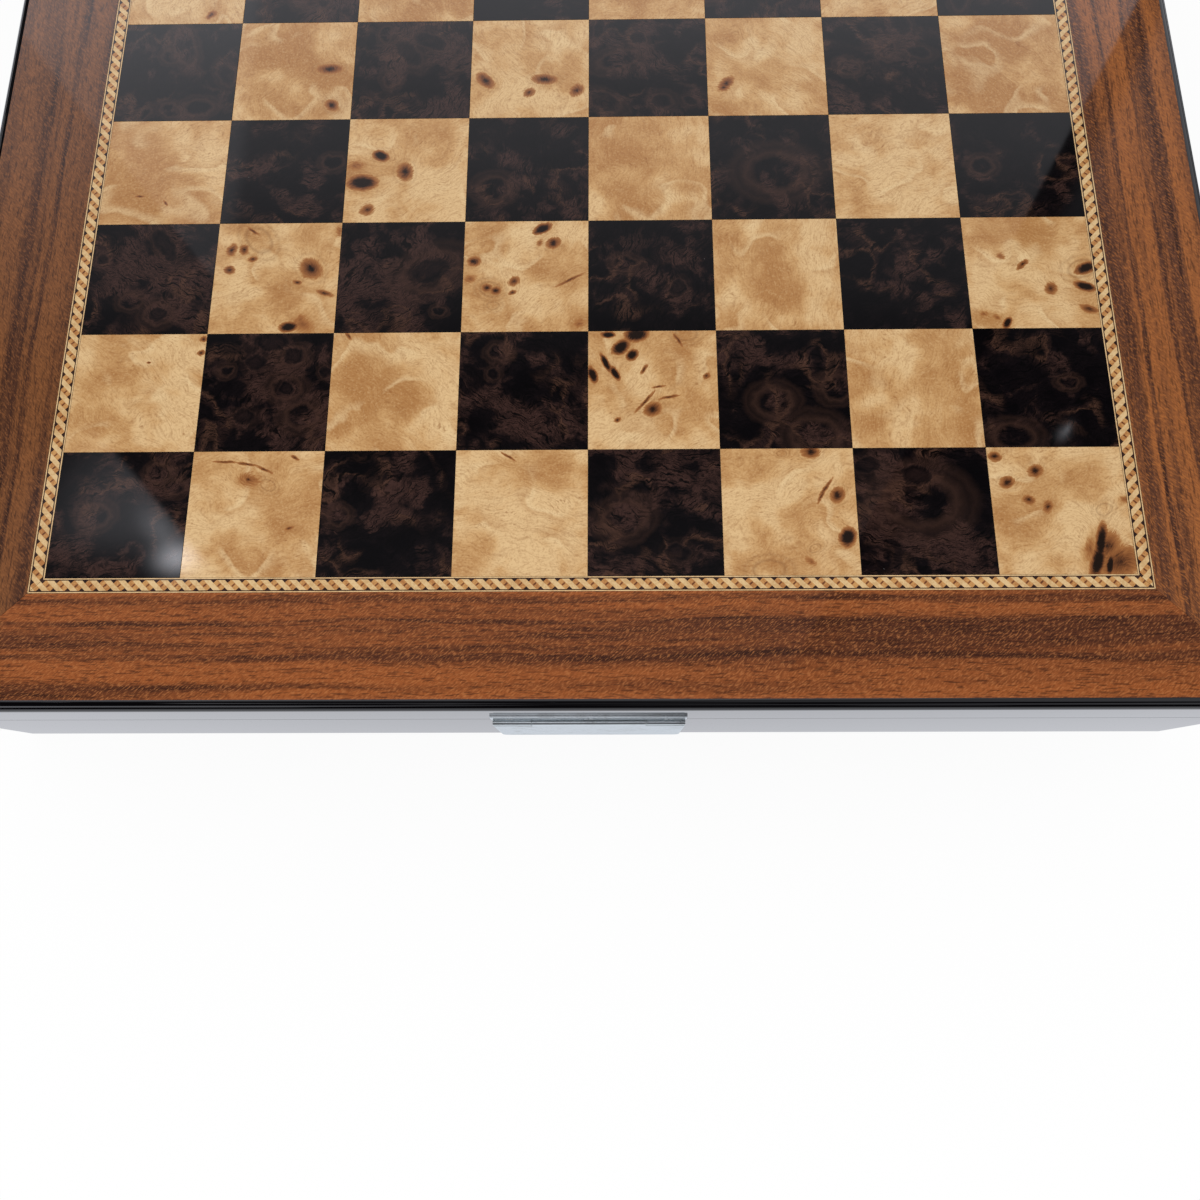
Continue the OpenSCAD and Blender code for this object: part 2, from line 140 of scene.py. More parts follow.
class Graph:
    """A node tree with a short call for each kind of node that the finishes use."""

    def __init__(self, tree: NodeTree) -> None:
        """Takes the tree that the calls add to.

        Args:
            tree: The node tree of a material, a world or a group.
        """
        self.tree = tree

    def add(self, kind: str, inputs: dict, **settings: object) -> Node:
        """Adds a node.

        Args:
            kind: Blender's name of the node's type.
            inputs: A value or a socket for each input, by name or by number.
            settings: The node's own properties.

        Returns:
            The new node.
        """
        node = self.tree.nodes.new(kind)
        for name, value in settings.items():
            setattr(node, name, value)
        for key, value in inputs.items():
            self.feed(node.inputs[key], value)
        return node

    def feed(self, socket: NodeSocket, value: Input) -> None:
        """Links a socket to an input, or sets the input's value."""
        if isinstance(value, NodeSocket):
            self.tree.links.new(value, socket)
        else:
            socket.default_value = value

    def math(self, operation: str, *values: Input, clamp: bool = False) -> NodeSocket:
        """Calculates with one to three numbers, and keeps the result between 0 and 1 if clamped."""
        return self.add("ShaderNodeMath", dict(enumerate(values)), operation=operation,
                        use_clamp=clamp).outputs[0]

    def vector(self, operation: str, *values: Input) -> NodeSocket:
        """Calculates with vectors.

        Args:
            operation: The operation of Blender's Vector Math node.
            values: Vectors or sockets, in the node's order.

        Returns:
            The result: a number for a length or a dot product, and otherwise a vector.
        """
        node = self.add("ShaderNodeVectorMath", dict(enumerate(values)), operation=operation)
        number = operation in ("LENGTH", "DOT_PRODUCT", "DISTANCE")
        return node.outputs["Value" if number else "Vector"]

    def scaled(self, vector: Input, x: float, y: float, z: float = 1.0) -> NodeSocket:
        """Stretches a vector by a factor along each axis."""
        return self.vector("MULTIPLY", vector, (x, y, z))

    def grown(self, vector: Input, factor: Input) -> NodeSocket:
        """Stretches a vector by the same factor along every axis."""
        return self.add("ShaderNodeVectorMath", {0: vector, "Scale": factor}, operation="SCALE").outputs[0]

    def turned(self, vector: Input, angle: Input) -> NodeSocket:
        """Turns a vector about Z by an angle in radians."""
        return self.add("ShaderNodeVectorRotate", {"Vector": vector, "Angle": angle},
                        rotation_type="Z_AXIS").outputs[0]

    def combine(self, x: Input, y: Input, z: Input) -> NodeSocket:
        """Makes a vector of three numbers."""
        return self.add("ShaderNodeCombineXYZ", {0: x, 1: y, 2: z}).outputs[0]

    def parts(self, vector: Input) -> list[NodeSocket]:
        """Takes a vector apart into its three numbers."""
        return list(self.add("ShaderNodeSeparateXYZ", {0: vector}).outputs)

    def noise(self, vector: Input, size: float, detail: float = 2.0, roughness: float = 0.5,
              distortion: float = 0.0) -> NodeSocket:
        """Draws soft noise.

        Args:
            vector: Where to read it, in millimetres.
            size: Rough width of its lumps, in millimetres.
            detail: How many finer layers it has.
            roughness: How strong the finer layers are.
            distortion: How far it is folded into itself.

        Returns:
            A value round 0.5, mostly between 0.25 and 0.75.
        """
        return self.add("ShaderNodeTexNoise", {
            "Vector": vector, "Scale": 1 / size, "Detail": detail,
            "Roughness": roughness, "Distortion": distortion,
        }).outputs[0]

    def step(self, value: Input, low: float, high: float, start: Input = 0.0, end: Input = 1.0,
             easing: str = "SMOOTHSTEP") -> NodeSocket:
        """Goes from one value to another while an input crosses a span.

        Args:
            value: The input.
            low: Where the change starts; above high for a falling span.
            high: Where the change ends.
            start: The result before the span.
            end: The result after it.
            easing: Blender's name of the way between them.

        Returns:
            The value.
        """
        if low > high:
            low, high, start, end = high, low, end, start
        return self.add("ShaderNodeMapRange", {
            "Value": value, "From Min": low, "From Max": high, "To Min": start, "To Max": end,
        }, interpolation_type=easing).outputs[0]

    def peak(self, value: Input, centre: Input, width: Input) -> NodeSocket:
        """A ridge that is 1 where the value is at the centre and 0 past the width from it."""
        away = self.math("ABSOLUTE", self.math("SUBTRACT", value, centre))
        return self.math("SUBTRACT", 1.0, self.math("DIVIDE", away, width), clamp=True)

    def mix(self, share: Input, first: Input, second: Input) -> NodeSocket:
        """Mixes two colours, by the second one's share."""
        return self.add("ShaderNodeMix", {0: share, 6: first, 7: second}, data_type="RGBA").outputs[2]

    def ramp(self, value: Input, stops: Iterable[tuple[float, tuple]]) -> NodeSocket:
        """Turns a value into a colour along a list of stops.

        Args:
            value: The value, from 0 to 1.
            stops: Each stop's place and colour, in rising order.

        Returns:
            The colour.
        """
        node = self.add("ShaderNodeValToRGB", {0: value})
        stops = list(stops)
        band = node.color_ramp.elements
        while len(band) < len(stops):
            band.new(0.5)
        for element, (place, colour) in zip(band, stops):
            element.position = place
            element.color = colour
        return node.outputs[0]

    def effect(self, group: NodeTree, **inputs: Input) -> Node:
        """Places a shared group, with its inputs by name."""
        return self.add("ShaderNodeGroup", inputs, node_tree=group)

    def place(self, origin: Point = (0.0, 0.0, 0.0), turn: float = 0.0) -> NodeSocket:
        """The surface's own coordinates in millimetres.

        Args:
            origin: The object's point, in millimetres, that becomes the pattern's origin.
            turn: The pattern's turn about Z, in radians.

        Returns:
            The coordinates.
        """
        cosine, sine = math.cos(turn), math.sin(turn)
        x, y, z = origin
        shift = (-(x * cosine - y * sine), -(x * sine + y * cosine), -z)
        return self.add("ShaderNodeMapping", {
            "Vector": self.add("ShaderNodeTexCoord", {}).outputs["Object"],
            "Location": shift, "Rotation": (0.0, 0.0, turn), "Scale": (PER_METRE,) * 3,
        }).outputs[0]

    def bump(self, height: Input, depth: float) -> NodeSocket:
        """Tilts the surface by a height from 0 to 1, of which 1 is the depth in millimetres."""
        return self.add("ShaderNodeBump", {
            "Height": height, "Strength": 1.0, "Distance": depth * MM}).outputs[0]


class Effects:
    """The shader groups that more than one finish uses, each built once."""

    @staticmethod
    def _group(name: str, inputs: dict[str, object], outputs: Iterable[str]) -> tuple[Graph, dict, dict]:
        """Starts a group whose first input, Vector, is the place in millimetres.

        Args:
            name: The group's name.
            inputs: Each further input's name and default: a number, or three for a vector.
            outputs: The names of its outputs, all numbers but for one called Vector.

        Returns:
            Its graph, the sockets that bring its inputs, and the sockets that take its outputs.
        """
        inputs = {"Vector": (0.0, 0.0, 0.0), **inputs}
        tree = bpy.data.node_groups.new(name, "ShaderNodeTree")
        for label, default in inputs.items():
            kind = "NodeSocketVector" if isinstance(default, tuple) else "NodeSocketFloat"
            socket = tree.interface.new_socket(name=label, in_out="INPUT", socket_type=kind)
            socket.default_value = default
        for label in outputs:
            kind = "NodeSocketVector" if label == "Vector" else "NodeSocketFloat"
            tree.interface.new_socket(name=label, in_out="OUTPUT", socket_type=kind)
        source = tree.nodes.new("NodeGroupInput").outputs
        sink = tree.nodes.new("NodeGroupOutput").inputs
        return (Graph(tree), {label: source[label] for label in inputs},
                {label: sink[label] for label in outputs})

    @cached_property
    def knot(self) -> NodeTree:
        """One mark of the burl, added to those before it.

        Depth is 1 at an eye's middle and 0 past its halo, Swell lifts the growth lines round it,
        Ring is the fine line outside it, and Tint browns the wood round it, or pales it below 0.
        """
        graph, given, made = self._group("bud_eye", {
            "Centre": (0.0, 0.0, 0.0), "Radius": 1.5, "Stretch": 1.2,
            "Turn": 0.0, "Dark": 1.0, "Swelling": 1.0, "Ringing": 1.0, "Tinting": 1.0,
            "Ring place": 1.6, "Ring width": 0.2,
            "Depth": 0.0, "Swell": 0.0, "Ring": 0.0, "Tint": 0.0,
        }, ("Depth", "Swell", "Ring", "Tint"))
        halo, swell_fall, tint_fall, outer_gap, outer_share = 1.6, -0.11, -0.35, 0.65, 0.5
        away = graph.vector("SUBTRACT", given["Vector"], given["Centre"])
        turned = graph.turned(away, graph.math("MULTIPLY", given["Turn"], -1.0))
        shaped = graph.vector("DIVIDE", turned, graph.combine(given["Stretch"], 1.0, 1.0))
        flat = graph.scaled(shaped, 1.0, 1.0, 0.0)
        reach = graph.math("DIVIDE", graph.vector("LENGTH", flat), given["Radius"])
        square = graph.math("MULTIPLY", reach, reach)
        near = graph.math("SUBTRACT", 1.0, graph.math("DIVIDE", reach, halo), clamp=True)
        swell = graph.math("EXPONENT", graph.math("MULTIPLY", square, swell_fall))
        tint = graph.math("EXPONENT", graph.math("MULTIPLY", square, tint_fall))
        wide = given["Ring width"]
        ring = graph.peak(reach, given["Ring place"], wide)
        outer = graph.peak(reach, graph.math("ADD", given["Ring place"], outer_gap), wide)
        ring = graph.math("MULTIPLY_ADD", outer, outer_share, ring)
        graph.feed(made["Depth"], graph.math(
            "MAXIMUM", graph.math("MULTIPLY", near, given["Dark"]), given["Depth"]))
        graph.feed(made["Swell"], graph.math("MULTIPLY_ADD", swell, given["Swelling"], given["Swell"]))
        graph.feed(made["Ring"], graph.math(
            "MAXIMUM", graph.math("MULTIPLY", ring, given["Ringing"]), given["Ring"]))
        graph.feed(made["Tint"], graph.math("MULTIPLY_ADD", tint, given["Tinting"], given["Tint"]))
        return graph.tree

    @cached_property
    def flow(self) -> NodeTree:
        """Pushes coordinates about by noise, so that no outline in the wood is drawn with a compass."""
        graph, given, made = self._group("wood_flow", {"Seed": 0.0, "Push": 1.0}, ("Vector",))
        lump_mm = 3.2
        x, y, _ = graph.parts(given["Vector"])
        spot = graph.combine(x, y, given["Seed"])
        wobble = graph.add("ShaderNodeTexNoise", {
            "Vector": spot, "Scale": 1 / lump_mm, "Detail": 2.0, "Roughness": 0.55}).outputs["Color"]
        centred = graph.vector("SUBTRACT", wobble, (0.5, 0.5, 0.5))
        moved = graph.vector("ADD", spot, graph.grown(centred, given["Push"]))
        x, y, _ = graph.parts(moved)
        graph.feed(made["Vector"], graph.combine(x, y, given["Seed"]))
        return graph.tree

    @cached_property
    def growth(self) -> NodeTree:
        """Growth lines and fibres that lie one way and bend round the eyes, as sliced burl shows them.

        Cloud is a broad patch, Fold a pale crease that is crisp on one side, Shade the brown on
        its other side, Line a growth line, Fibre the fine grain, Fleck a short dark dash and Speck the
        wood's fine speckle.
        """
        graph, given, made = self._group("burl_growth", {
            "Swell": 0.0, "Lie": 0.0, "Mottle": 1.0, "Detail": 1.5,
        }, ("Cloud", "Fold", "Shade", "Line", "Fibre", "Fleck", "Speck"))
        spot = given["Vector"]
        x, y, z = graph.parts(graph.turned(spot, given["Lie"]))
        swell_lift, hill_height, slope = 0.28, 17.0, 0.8
        hills = graph.noise(spot, 19.0, 1.5, 0.45, 0.35)
        hill = graph.math("MULTIPLY_ADD", given["Swell"], swell_lift, hills)
        level = graph.math("ADD", graph.math("MULTIPLY_ADD", hill, hill_height, z),
                           graph.math("MULTIPLY", y, slope))

        def along(spread: float, rise: float, detail: float) -> NodeSocket:
            """Noise that is long along the contours and short across them."""
            where = graph.combine(graph.math("MULTIPLY", x, spread), graph.math("MULTIPLY", y, spread),
                                  graph.math("MULTIPLY", level, rise))
            return graph.noise(where, 1.0, detail, 0.55)

        def apart(where: Input, shift: Point) -> NodeSocket:
            """Moved coordinates, so that two patterns of one spot don't match."""
            return graph.vector("ADD", where, shift)

        closer = graph.grown(spot, given["Mottle"])
        patch = graph.noise(closer, 15.0, given["Detail"], 0.55, 0.25)
        patch_share = 0.85
        graph.feed(made["Cloud"], graph.math(
            "ADD", graph.math("MULTIPLY", patch, patch_share),
            graph.math("MULTIPLY", along(0.1, 0.4, 1.0), 1 - patch_share)))
        crease = graph.noise(apart(closer, (37.0, 11.0, 5.0)), 21.0, 1.5, 0.45, 0.4)
        chosen = graph.step(graph.noise(apart(spot, (9.0, 61.0, 3.0)), 19.0, 1.0), 0.46, 0.6)
        crest = graph.step(crease, 0.5, 0.535)
        graph.feed(made["Fold"], graph.math(
            "MULTIPLY", chosen, graph.math("SUBTRACT", crest, graph.step(crease, 0.535, 0.62))))
        graph.feed(made["Shade"], graph.math(
            "MULTIPLY", chosen, graph.math("SUBTRACT", graph.step(crease, 0.4, 0.5), crest)))
        graph.feed(made["Line"], along(0.13, 2.1, 3.0))
        graph.feed(made["Fibre"], along(0.6, 3.0, 2.0))
        graph.feed(made["Speck"], graph.noise(spot, 0.75, 1.5, 0.6))
        graph.feed(made["Fleck"], graph.math(
            "MULTIPLY", graph.step(along(0.5, 1.7, 1.0), 0.64, 0.74),
            graph.step(graph.noise(apart(spot, (71.0, 2.0, 8.0)), 13.0, 1.0), 0.4, 0.6)))
        return graph.tree

    @cached_property
    def grain(self) -> NodeTree:
        """Straight grain along X: broad bands, fine streaks, pores and short slanting flecks.

        Across is the distance across the grain in millimetres, with the grain's own sway in it.
        """
        graph, given, made = self._group("straight_grain", {"Wave": 1.0},
                                         ("Across", "Band", "Streak", "Pore", "Fleck"))
        spot = given["Vector"]
        x, y, z = graph.parts(spot)
        sway_mm, fleck_lean = 5.0, math.radians(-38)
        sway = graph.noise(graph.scaled(spot, 0.12, 0.5), 9.0, 2.0, 0.5)
        bend = graph.math("MULTIPLY", graph.math("SUBTRACT", sway, 0.5),
                          graph.math("MULTIPLY", given["Wave"], sway_mm))
        across = graph.math("ADD", y, bend)
        bent = graph.combine(x, across, z)
        graph.feed(made["Across"], across)
        graph.feed(made["Band"], graph.noise(graph.scaled(bent, 0.03, 1.0), 7.0, 2.0, 0.5))
        graph.feed(made["Streak"], graph.noise(graph.scaled(bent, 0.04, 1.0), 1.5, 4.0, 0.65, 0.3))
        graph.feed(made["Pore"], graph.step(
            graph.noise(graph.scaled(bent, 0.13, 1.0), 0.55, 1.0, 0.5), 0.54, 0.68))
        slant = graph.scaled(graph.turned(bent, fleck_lean), 0.25, 1.0)
        graph.feed(made["Fleck"], graph.noise(slant, 0.42, 2.0, 0.6))
        return graph.tree

    @cached_property
    def polish(self) -> NodeTree:
        """A polished coat: the faint ripple it sets with, and the haze that wiping leaves."""
        graph, given, made = self._group("polished_coat", {"Clear": 0.03, "Hazy": 0.05},
                                         ("Ripple", "Roughness", "Dust"))
        spot = given["Vector"]
        haze = graph.noise(graph.scaled(spot, 1.0, 0.55), 48.0, 3.0, 0.6, 1.2)
        smear = graph.noise(graph.scaled(spot, 0.22, 1.0), 7.0, 2.0, 0.6)
        wiped = graph.math("MULTIPLY", graph.step(haze, 0.45, 0.75), graph.step(smear, 0.35, 0.7))
        graph.feed(made["Roughness"], graph.step(wiped, 0.0, 1.0, given["Clear"], given["Hazy"], "LINEAR"))
        graph.feed(made["Ripple"], graph.noise(spot, 11.0, 1.5, 0.35))
        cell_mm, clean_share, rim, core = 7.0, 0.86, 0.02, 0.011
        speck = graph.add("ShaderNodeTexVoronoi", {"Vector": spot, "Scale": 1 / cell_mm})
        chosen = graph.math("GREATER_THAN", graph.parts(speck.outputs["Color"])[0], clean_share)
        graph.feed(made["Dust"], graph.math(
            "MULTIPLY", chosen, graph.step(speck.outputs["Distance"], rim, core)))
        return graph.tree

    @cached_property
    def brushing(self) -> NodeTree:
        """Plated metal: the fine lines of the polishing wheel along X, and soft tarnish."""
        graph, given, made = self._group("wheel_lines", {"Smooth": 0.16, "Rough": 0.3},
                                         ("Lines", "Roughness", "Tarnish"))
        lines = graph.noise(graph.scaled(given["Vector"], 0.03, 1.0), 0.35, 2.0, 0.6)
        patches = graph.noise(given["Vector"], 9.0, 3.0, 0.6, 0.4)
        graph.feed(made["Lines"], lines)
        graph.feed(made["Tarnish"], graph.step(patches, 0.5, 0.75))
        uneven = graph.math("ADD", graph.math("MULTIPLY", lines, 0.5), graph.math("MULTIPLY", patches, 0.5))
        graph.feed(made["Roughness"], graph.step(uneven, 0.3, 0.7, given["Smooth"], given["Rough"], "LINEAR"))
        return graph.tree


@dataclass(frozen=True)
class Gloss:
    """A hard clear or black coat, as its shader takes it."""

    ior: float = 1.5
    clear: float = 0.03
    hazy: float = 0.05
    ripple_depth: float = 0.0035
    dust: tuple = tone(190, 190, 195)
    dust_share: float = 0.35


class Finish:
    """What all finishes share: a new material with its shader."""

    effects = Effects()

    @staticmethod
    def start(name: str) -> tuple[Material, Graph, Node]:
        """Makes an empty material.

        Args:
            name: The material's name.

        Returns:
            The material, its graph and its surface shader.
        """
        material = bpy.data.materials.new(name)
        material.use_nodes = True
        shader = next(n for n in material.node_tree.nodes if n.type == "BSDF_PRINCIPLED")
        return material, Graph(material.node_tree), shader

    @classmethod
    def coat(cls, graph: Graph, shader: Node, spot: Input, gloss: Gloss, colour: Input) -> None:
        """Lays a polished coat over a colour.

        Args:
            graph: The material's graph.
            shader: Its surface shader.
            spot: The coordinates in millimetres.
            gloss: The coat.
            colour: What the coat covers.
        """
        coat = graph.effect(cls.effects.polish, Vector=spot, Clear=gloss.clear, Hazy=gloss.hazy)
        dusty = graph.math("MULTIPLY", coat.outputs["Dust"], gloss.dust_share)
        graph.feed(shader.inputs["Base Color"], graph.mix(dusty, colour, gloss.dust))
        graph.feed(shader.inputs["Roughness"], coat.outputs["Roughness"])
        graph.feed(shader.inputs["Normal"], graph.bump(coat.outputs["Ripple"], gloss.ripple_depth))
        graph.feed(shader.inputs["IOR"], gloss.ior)


@dataclass(frozen=True)
class BlackLacquer(Finish):
    """Black high-gloss lacquer over board."""

    colour: tuple = tone(5, 4, 6)
    thin: tuple = tone(9, 8, 10)
    gloss: Gloss = Gloss(ripple_depth=0.004)

    def material(self) -> Material:
        """Makes the material."""
        material, graph, shader = self.start("black_lacquer")
        spot = graph.place()
        self.coat(graph, shader, spot, self.gloss,
                  graph.mix(graph.noise(spot, 60.0), self.colour, self.thin))
        return material


class KnotKind(Enum):
    """What a mark in the burl is, with how dark, how swollen, how ringed and how brown it is."""

    EYE = (1.0, 1.0, 0.8, 0.5)
    SPOT = (0.85, 0.5, 0.0, 0.4)
    CRACK = (0.8, 0.05, 0.0, 0.1)
    BLACK = (1.6, 1.0, 0.4, 0.8)
    RING = (0.0, 1.0, 1.0, 0.5)
    BROWN = (0.0, 0.2, 0.0, 1.0)
    PALE = (0.0, 0.1, 0.0, -1.0)
    RUST = (0.5, 0.3, 0.0, 1.2)
    CHAR = (0.82, 0.2, 0.0, 1.0)


@dataclass(frozen=True)
class Knot:
    """A mark in one burl square, in millimetres from the square's near left corner."""

    x: float
    y: float
    radius: float = 1.5
    stretch: float = 1.25
    turn_deg: float = 0.0
    kind: KnotKind = KnotKind.EYE


@dataclass(frozen=True)
class BurlWood:
    """The colours of one burl, and how strongly each of its figures shows."""

    pale: tuple
    ground: tuple
    brown: tuple
    cream: tuple
    line: tuple
    ring: tuple
    depths: tuple[tuple[float, tuple], ...]
    line_share: float
    fibre_share: float
    fleck_share: float
    fold_share: float
    shade_share: float
    speck_share: float
    ring_share: float
    ring_place: float
    ring_width: float
    ragged: float
    eye_share: float
    cloud_span: tuple[float, float]
    push: float
    mottle: float
    detail: float
    tinting: float


LIGHT_WOOD = BurlWood(
    pale=tone(222, 187, 138), ground=tone(205, 162, 110), brown=tone(174, 124, 75),
    cream=tone(231, 202, 155), line=tone(146, 95, 52), ring=tone(116, 73, 43),
    depths=((0.0, tone(182, 130, 78)), (0.3, tone(158, 104, 60)), (0.5, tone(132, 82, 47)),
            (0.66, tone(104, 63, 37)), (0.82, tone(56, 35, 25)), (1.0, tone(32, 22, 17))),
    line_share=0.24, fibre_share=0.26, fleck_share=0.5, fold_share=0.5, shade_share=0.35,
    speck_share=0.25, ring_share=0.35, ring_place=1.1, ring_width=0.25, ragged=0.6, eye_share=1.0,
    cloud_span=(0.43, 0.72), push=1.0, mottle=1.0, detail=2.5, tinting=0.13)
DARK_WOOD = BurlWood(
    pale=tone(8, 6, 8), ground=tone(17, 12, 14), brown=tone(66, 45, 40),
    cream=tone(86, 59, 47), line=tone(6, 5, 6), ring=tone(66, 45, 37),
    depths=((0.0, tone(50, 33, 29)), (0.3, tone(24, 17, 17)), (0.6, tone(9, 7, 9)), (1.0, tone(20, 14, 15))),
    line_share=0.95, fibre_share=0.75, fleck_share=0.5, fold_share=0.7, shade_share=0.4,
    speck_share=0.45, ring_share=0.5, ring_place=1.4, ring_width=0.45, ragged=0.5, eye_share=0.8,
    cloud_span=(0.5, 0.66), push=3.2, mottle=1.6, detail=4.5, tinting=0.11)


@dataclass(frozen=True)
class Burl(Finish):
    """Burl veneer of one square under a clear polished coat."""

    wood: BurlWood
    corner: Point
    seed: float
    knots: tuple[Knot, ...]
    brownness: float = 0.5
    lie_deg: float = 0.0
    gloss: Gloss = Gloss()
    brown_reach: float = 0.2

    def material(self, name: str) -> Material:
        """Makes the material of the named square."""
        material, graph, shader = self.start(name)
        wood = self.wood
        spot = graph.place(self.corner)
        flow = graph.effect(self.effects.flow, Vector=spot, Seed=self.seed, Push=wood.push).outputs[0]
        marks = self._marks(graph, flow)
        growth = graph.effect(self.effects.growth, Vector=flow, Swell=marks["Swell"], Mottle=wood.mottle,
                              Lie=-math.radians(self.lie_deg), Detail=wood.detail).outputs
        cloud = graph.math("ADD", growth["Cloud"], self.brown_reach * (self.brownness - 0.5))
        cloud = graph.math("MULTIPLY_ADD", marks["Tint"], wood.tinting, cloud)
        layers = (  # where each colour shows, how strongly, and the colour
            (graph.step(cloud, *wood.cloud_span), 0.9, wood.brown),
            (graph.step(cloud, 0.53, 0.32), 1.0, wood.pale),
            (growth["Shade"], wood.shade_share, wood.brown),
            (growth["Fold"], wood.fold_share, wood.cream),
            (graph.step(growth["Line"], 0.52, 0.64), wood.line_share, wood.line),
            (graph.step(growth["Line"], 0.46, 0.3), wood.line_share * 0.5, wood.pale),
            (graph.step(growth["Fibre"], 0.45, 0.7), wood.fibre_share, wood.line),
            (graph.step(growth["Speck"], 0.5, 0.68), wood.speck_share, wood.line),
            (graph.step(growth["Speck"], 0.46, 0.3), wood.speck_share, wood.pale),
            (growth["Fleck"], wood.fleck_share, wood.line),
            (marks["Ring"], wood.ring_share, wood.ring),
        )
        colour: Input = wood.ground
        for share, strength, layer in layers:
            colour = graph.mix(graph.math("MULTIPLY", share, strength), colour, layer)
        if self.knots:
            ragged = graph.math("MULTIPLY_ADD", graph.math("SUBTRACT", growth["Fibre"], 0.5), wood.ragged,
                                marks["Depth"])
            depth = graph.math("MULTIPLY", ragged, graph.step(marks["Depth"], 0.0, 0.12))
            colour = graph.mix(graph.step(depth, 0.03, 0.3, 0.0, wood.eye_share), colour,
                               graph.ramp(depth, wood.depths))
        self.coat(graph, shader, graph.place(), self.gloss, colour)
        return material

    def _marks(self, graph: Graph, flow: Input) -> dict[str, Input]:
        """Adds up the square's marks.

        Args:
            graph: The material's graph.
            flow: The coordinates that the marks are read at.

        Returns:
            What the marks come to, by the outputs of the shared group.
        """
        marks: dict[str, Input] = {"Depth": 0.0, "Swell": 0.0, "Ring": 0.0, "Tint": 0.0}
        for knot in self.knots:
            dark, swelling, ringing, tinting = knot.kind.value
            node = graph.effect(
                self.effects.knot, Vector=flow, Centre=(knot.x, knot.y, 0.0), Radius=knot.radius,
                Stretch=knot.stretch, Turn=math.radians(knot.turn_deg), Dark=dark, Swelling=swelling,
                Ringing=ringing, Tinting=tinting,
                **{"Ring place": self.wood.ring_place, "Ring width": self.wood.ring_width}, **marks)
            marks = {label: node.outputs[label] for label in marks}
        return marks


@dataclass(frozen=True)
class Stripe:
    """A stripe of the walnut, by its distance from the box's middle and its half width, in millimetres."""

    across: float
    half: float
    share: float
    warm: bool = False


@dataclass(frozen=True)
class WalnutCut:
    """The colours and the stripes of one length of walnut."""

    warm: tuple
    dark: tuple
    streak: tuple
    bright: tuple
    stripes: tuple[Stripe, ...]


FRONT_CUT = WalnutCut(
    tone(150, 84, 45), tone(92, 52, 34), tone(50, 29, 24), tone(186, 120, 72),
    (Stripe(187.5, 1.2, 0.55), Stripe(191.5, 2.0, 0.5, True), Stripe(195.0, 0.8, 0.7),
     Stripe(198.0, 2.0, 0.45), Stripe(206.6, 1.0, 0.6), Stripe(211.5, 3.0, 0.55, True)))
# The left length's colours are about a fifth darker than the front's. That is painted shade for the side that
# reads darker in the light, over its own stripes.
SHADED_LEFT_CUT = WalnutCut(
    tone(122, 77, 47), tone(78, 49, 36), tone(46, 31, 28), tone(150, 96, 58),
    (Stripe(196.5, 1.0, 0.75), Stripe(201.0, 0.7, 0.4), Stripe(212.0, 5.0, 0.5, True)))
RIGHT_CUT = WalnutCut(
    tone(154, 94, 54), tone(94, 60, 45), tone(52, 34, 30), tone(188, 116, 60),
    (Stripe(194.8, 0.8, 0.8), Stripe(201.8, 2.4, 0.95, True), Stripe(205.0, 0.7, 0.7),
     Stripe(212.0, 1.3, 0.7), Stripe(217.5, 2.0, 0.4, True)))


@dataclass(frozen=True)
class Walnut(Finish):
    """Striped walnut veneer under a clear polished coat, with its grain along one side.

    The band is 1 where the wood is warm, 0 where it is dark, and deepest in a dark stripe.
    """

    side: Side
    cut: WalnutCut
    gloss: Gloss = Gloss()
    apart: float = 40.0
    deepest: float = -0.3

    def material(self) -> Material:
        """Makes the material for this side."""
        material, graph, shader = self.start(f"walnut_{self.side.label}")
        along = graph.place(turn=-self.side.turn)
        spot = graph.vector("ADD", along, (0.0, 0.0, self.apart * self.side.value))
        grain = graph.effect(self.effects.grain, Vector=spot).outputs
        band = graph.step(grain["Band"], 0.34, 0.62)
        for stripe in self.cut.stripes:
            ridge = graph.peak(grain["Across"], -stripe.across, 1.6 * stripe.half)
            broken = graph.step(grain["Streak"], 0.3, 0.6, 0.5 * stripe.share, 1.1 * stripe.share)
            share = graph.math("MULTIPLY", graph.step(ridge, 0.0, 0.7), broken, clamp=True)
            target = 1.0 if stripe.warm else self.deepest
            band = graph.math("MULTIPLY_ADD", graph.math("SUBTRACT", target, band), share, band)
        colour = graph.mix(graph.math("MAXIMUM", band, 0.0), self.cut.dark, self.cut.warm)
        colour = graph.mix(graph.step(band, 0.0, self.deepest, 0.0, 0.9), colour, self.cut.streak)
        lined = graph.math("MULTIPLY", graph.step(grain["Streak"], 0.48, 0.7),
                           graph.step(band, 0.1, 0.9, 0.75, 0.18))
        colour = graph.mix(lined, colour, self.cut.streak)
        colour = graph.mix(graph.step(grain["Fleck"], 0.5, 0.66, 0.0, 0.5), colour, self.cut.bright)
        colour = graph.mix(graph.step(grain["Fleck"], 0.48, 0.32, 0.0, 0.4), colour, self.cut.streak)
        colour = graph.mix(graph.math("MULTIPLY", grain["Pore"], 0.55), colour, self.cut.streak)
        self.coat(graph, shader, graph.place(), self.gloss, colour)
        return material


@dataclass(frozen=True)
class InlayWood(Finish):
    """A stained wood of the inlay band under the clear coat."""

    name: str
    light: tuple
    dark: tuple
    gloss: Gloss = Gloss()

    def material(self) -> Material:
        """Makes the material."""
        material, graph, shader = self.start(self.name)
        spot = graph.place()
        fibre = graph.noise(graph.scaled(spot, 0.5, 0.5), 0.35, 2.0, 0.6)
        patch = graph.noise(spot, 5.0, 2.0, 0.6)
        shade = graph.math("ADD", graph.math("MULTIPLY", fibre, 0.5), graph.math("MULTIPLY", patch, 0.5))
        self.coat(graph, shader, spot, self.gloss,
                  graph.mix(graph.step(shade, 0.38, 0.62), self.dark, self.light))
        return material


